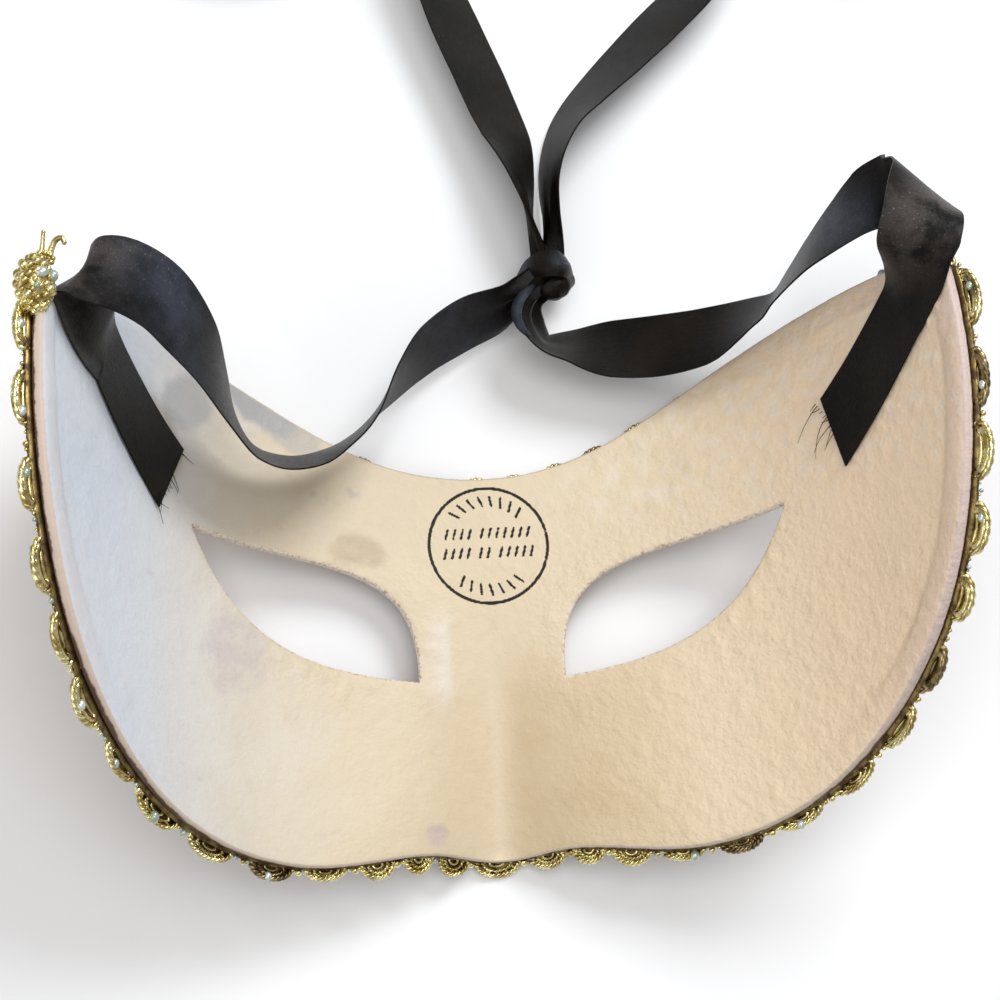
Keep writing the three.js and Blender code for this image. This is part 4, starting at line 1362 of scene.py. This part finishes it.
draw = random.Random(21)
scallops = [draw_scallop(k, draw) for k in range(SCALLOPS)]
gold_parts, dull_parts, bead_parts, pearl_parts, web_parts = [], [], [], [], [braid_tape()]
for scallop in scallops:
    steep = scallop["steep"]
    web_parts.append(web(scallop))
    parts = dull_parts if scallop["dull"] else gold_parts
    parts += scallop_cords(scallop)
    for aside, reach, radius in ((draw.uniform(-0.6, 0.6), 0.55, draw.uniform(0.6, 0.9)),
                                 (draw.uniform(0.9, 1.5), 0.3, draw.uniform(0.4, 0.6)),
                                 (draw.uniform(-1.6, -1.0), 0.35, draw.uniform(0.35, 0.6)),
                                 (0.0, -1.4, 0.85)):
        made = bead(scallop["neck"] + aside, reach, 2.9 + draw.uniform(-0.2, 0.2),
                    radius * (1 - 0.35 * steep))
        target = pearl_parts if draw.random() < 0.18 else bead_parts
        target.append(made)
    if scallop["pearl"]:
        aside = scallop["pearl_at"]
        reach = scallop["out"] * math.sqrt(1 - aside**2) * (0.85 - 0.25 * steep)
        pearl_parts.append(bead(scallop["run"] + aside * scallop["half"], reach, 2.7,
                                draw.uniform(0.65, 0.95), (1, 1.2, 0.8), 12, 9))
tape, loops_piece, dull_piece, beads_piece, stones_piece = (
    make_mesh("edge_braid_" + name, *join_parts(parts), material)
    for name, parts, material in (("tape", web_parts, olive), ("loops", gold_parts, gold),
                                  ("dull_loops", dull_parts, bronze), ("beads", bead_parts, gold),
                                  ("stones", pearl_parts, stone)))


# The ornament

DOME_AT = np.array([-81.5, 56.4, 67.3])
DOME_RADII = np.array([2.95, 4.9, 3.4])
DOME_GRAINS = 78
FOOT_AT = np.array([-79.8, 60.8, 67.8])
FOOT_RADII = np.array([1.5, 0.8, 0.6])
FOOT_BEADS = 9
STRAIGHT_WIRE = [(-80.4, 60.4, 67.8), (-80.0, 62.9, 68.5), (-79.7, 65.1, 69.2)]
CURLED_WIRE = [(-79.0, 60.6, 67.6), (-78.5, 62.4, 68.2), (-77.6, 63.8, 68.8), (-76.6, 64.0, 69.2),
               (-76.2, 63.1, 69.3)]
# Each stone of the ornament: its place from the dome's middle, its radii and its fineness.
STONES = [((1.5, 1.2, 3.2), (1.3, 0.9, 0.8), 24, 16), ((0.7, -1.3, 3.6), 0.6, 12, 9),
          ((3.3, 1.0, 1.4), (0.9, 1.1, 0.8), 12, 9)]


def ornament_parts(draw):
    """A dome covered in grains, a row of beads at its foot and two wires with a ball each."""
    parts = [ball(DOME_AT, DOME_RADII, 28, 20)]
    for k in range(DOME_GRAINS):
        height = 1 - 2 * (k + 0.5) / DOME_GRAINS
        turn = k * math.pi * (3 - math.sqrt(5)) + draw.uniform(-0.15, 0.15)
        flat = math.sqrt(1 - height * height)
        way = np.array([flat * math.cos(turn), flat * math.sin(turn), height])
        parts.append(ball(DOME_AT + way * DOME_RADII, draw.uniform(0.55, 1.0)))
    for k in range(FOOT_BEADS):
        turn = 2 * math.pi * k / FOOT_BEADS
        way = (math.cos(turn), math.sin(turn), math.sin(turn))
        parts.append(ball(FOOT_AT + FOOT_RADII * way, draw.uniform(0.45, 0.75), 8, 6))
    for wire, thick in ((STRAIGHT_WIRE, 0.42), (CURLED_WIRE, 0.48)):
        line = catmull(wire, 8)
        parts.append(tube(line, np.linspace(thick * 1.35, thick * 0.85, len(line)), 12))
        parts.append(ball(line[-1], thick, 8, 6))
    return parts


ornament = make_mesh("tip_ornament_gold", *join_parts(ornament_parts(random.Random(31))), gold)
ornament_stone = make_mesh(
    "tip_ornament_stone",
    *join_parts([ball(DOME_AT + at, radii, *fineness) for at, radii, *fineness in STONES]), stone)


# Riding: the pieces go on the root body, and the parts they stand for are hidden

pieces = {
    shell: (["mask_shell"], "papier_mache"),
    tape: (["edge_braid"], "gold_braid"),
    loops_piece: ([], "gold_braid"),
    dull_piece: ([], "gold_braid"),
    beads_piece: ([], "gold_beads"),
    stones_piece: ([], "gold_beads"),
    ornament: (["tip_ornament"], "gold_beads"),
    ornament_stone: ([], "gold_beads"),
    ribbon_right: (["ribbon_right"], "black_satin"),
    ribbon_left: (["ribbon_left"], "black_satin"),
    right_tail: (["ribbon_right_tail", "ribbon_right_coil"], "black_satin"),
    left_tail: (["ribbon_left_tail", "ribbon_left_coil"], "black_satin"),
    knot: (["ribbon_knot"], "black_satin"),
    right_threads: ([], "black_satin"),
    left_threads: ([], "black_satin"),
}
for piece, (stands_for, slot) in pieces.items():
    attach(piece, "root")
    if stands_for:
        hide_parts(*stands_for)

# Where each ribbon and tail leaves the glue or the knot, and points of its middle line, in the
# frame's metres; they are worked out and not used.
GLUE_END = 27.0
right_exit, left_exit = (face_point(*glued_place(cut, GLUE_END), GLUE_LIFT)
                         for cut in (RIGHT_CUT, LEFT_CUT))
for piece, leaves_at, line, length, far_end, extras in (
        (ribbon_right, right_exit, right_line, right_length, "knot", [knot, right_threads]),
        (ribbon_left, left_exit, left_line, left_length, "knot", [knot, left_threads]),
        (right_tail, RIGHT_TAIL_ROUTE[0][:3], right_tail_line, right_tail_length, "bare", []),
        (left_tail, LEFT_TAIL_ROUTE[0][:3], left_tail_line, left_tail_length, "bare", [])):
    to_frame(leaves_at).tolist()
    to_frame([*line[::3], line[-1]]).tolist()
    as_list(extras)


# Floor and light

FLOOR_DROP = 0.02
FLOOR_LINES = (-2500, 0, 2500)
floor_points = [(x, y, -FLOOR_DROP) for x in FLOOR_LINES for y in FLOOR_LINES]
floor_faces = [(0, 3, 4, 1), (1, 4, 5, 2), (3, 6, 7, 4), (4, 7, 8, 5)]
make_mesh("floor", floor_points, floor_faces, floor_material(), smooth=False)


def area_light(name, at, aim, size, power, colour):
    data = bpy.data.lights.new(name, "AREA")
    data.shape = "RECTANGLE"
    data.size, data.size_y = (side * MM for side in size)
    data.energy = power
    data.color = colour
    put_in_scene(name, data).matrix_world = facing(at, aim)


area_light("window", (330, 560, 700), (0, 20, 20), (420, 360), 5.5, (0.95, 0.975, 1.0))
area_light("fill", (-520, -260, 520), (0, 20, 20), (480, 420), 1.0, (1.0, 0.96, 0.91))
area_light("overhead", (-20, 60, 900), (0, 20, 0), (500, 500), 2.6, (1.0, 0.99, 0.97))

world = bpy.data.worlds.new("room")
world.use_nodes = True
background = world.node_tree.nodes["Background"].inputs
background["Color"].default_value = (0.96, 0.97, 1.0, 1)
background["Strength"].default_value = 0.40
bpy.context.scene.world = world
bpy.context.scene.view_settings.view_transform = "Standard"
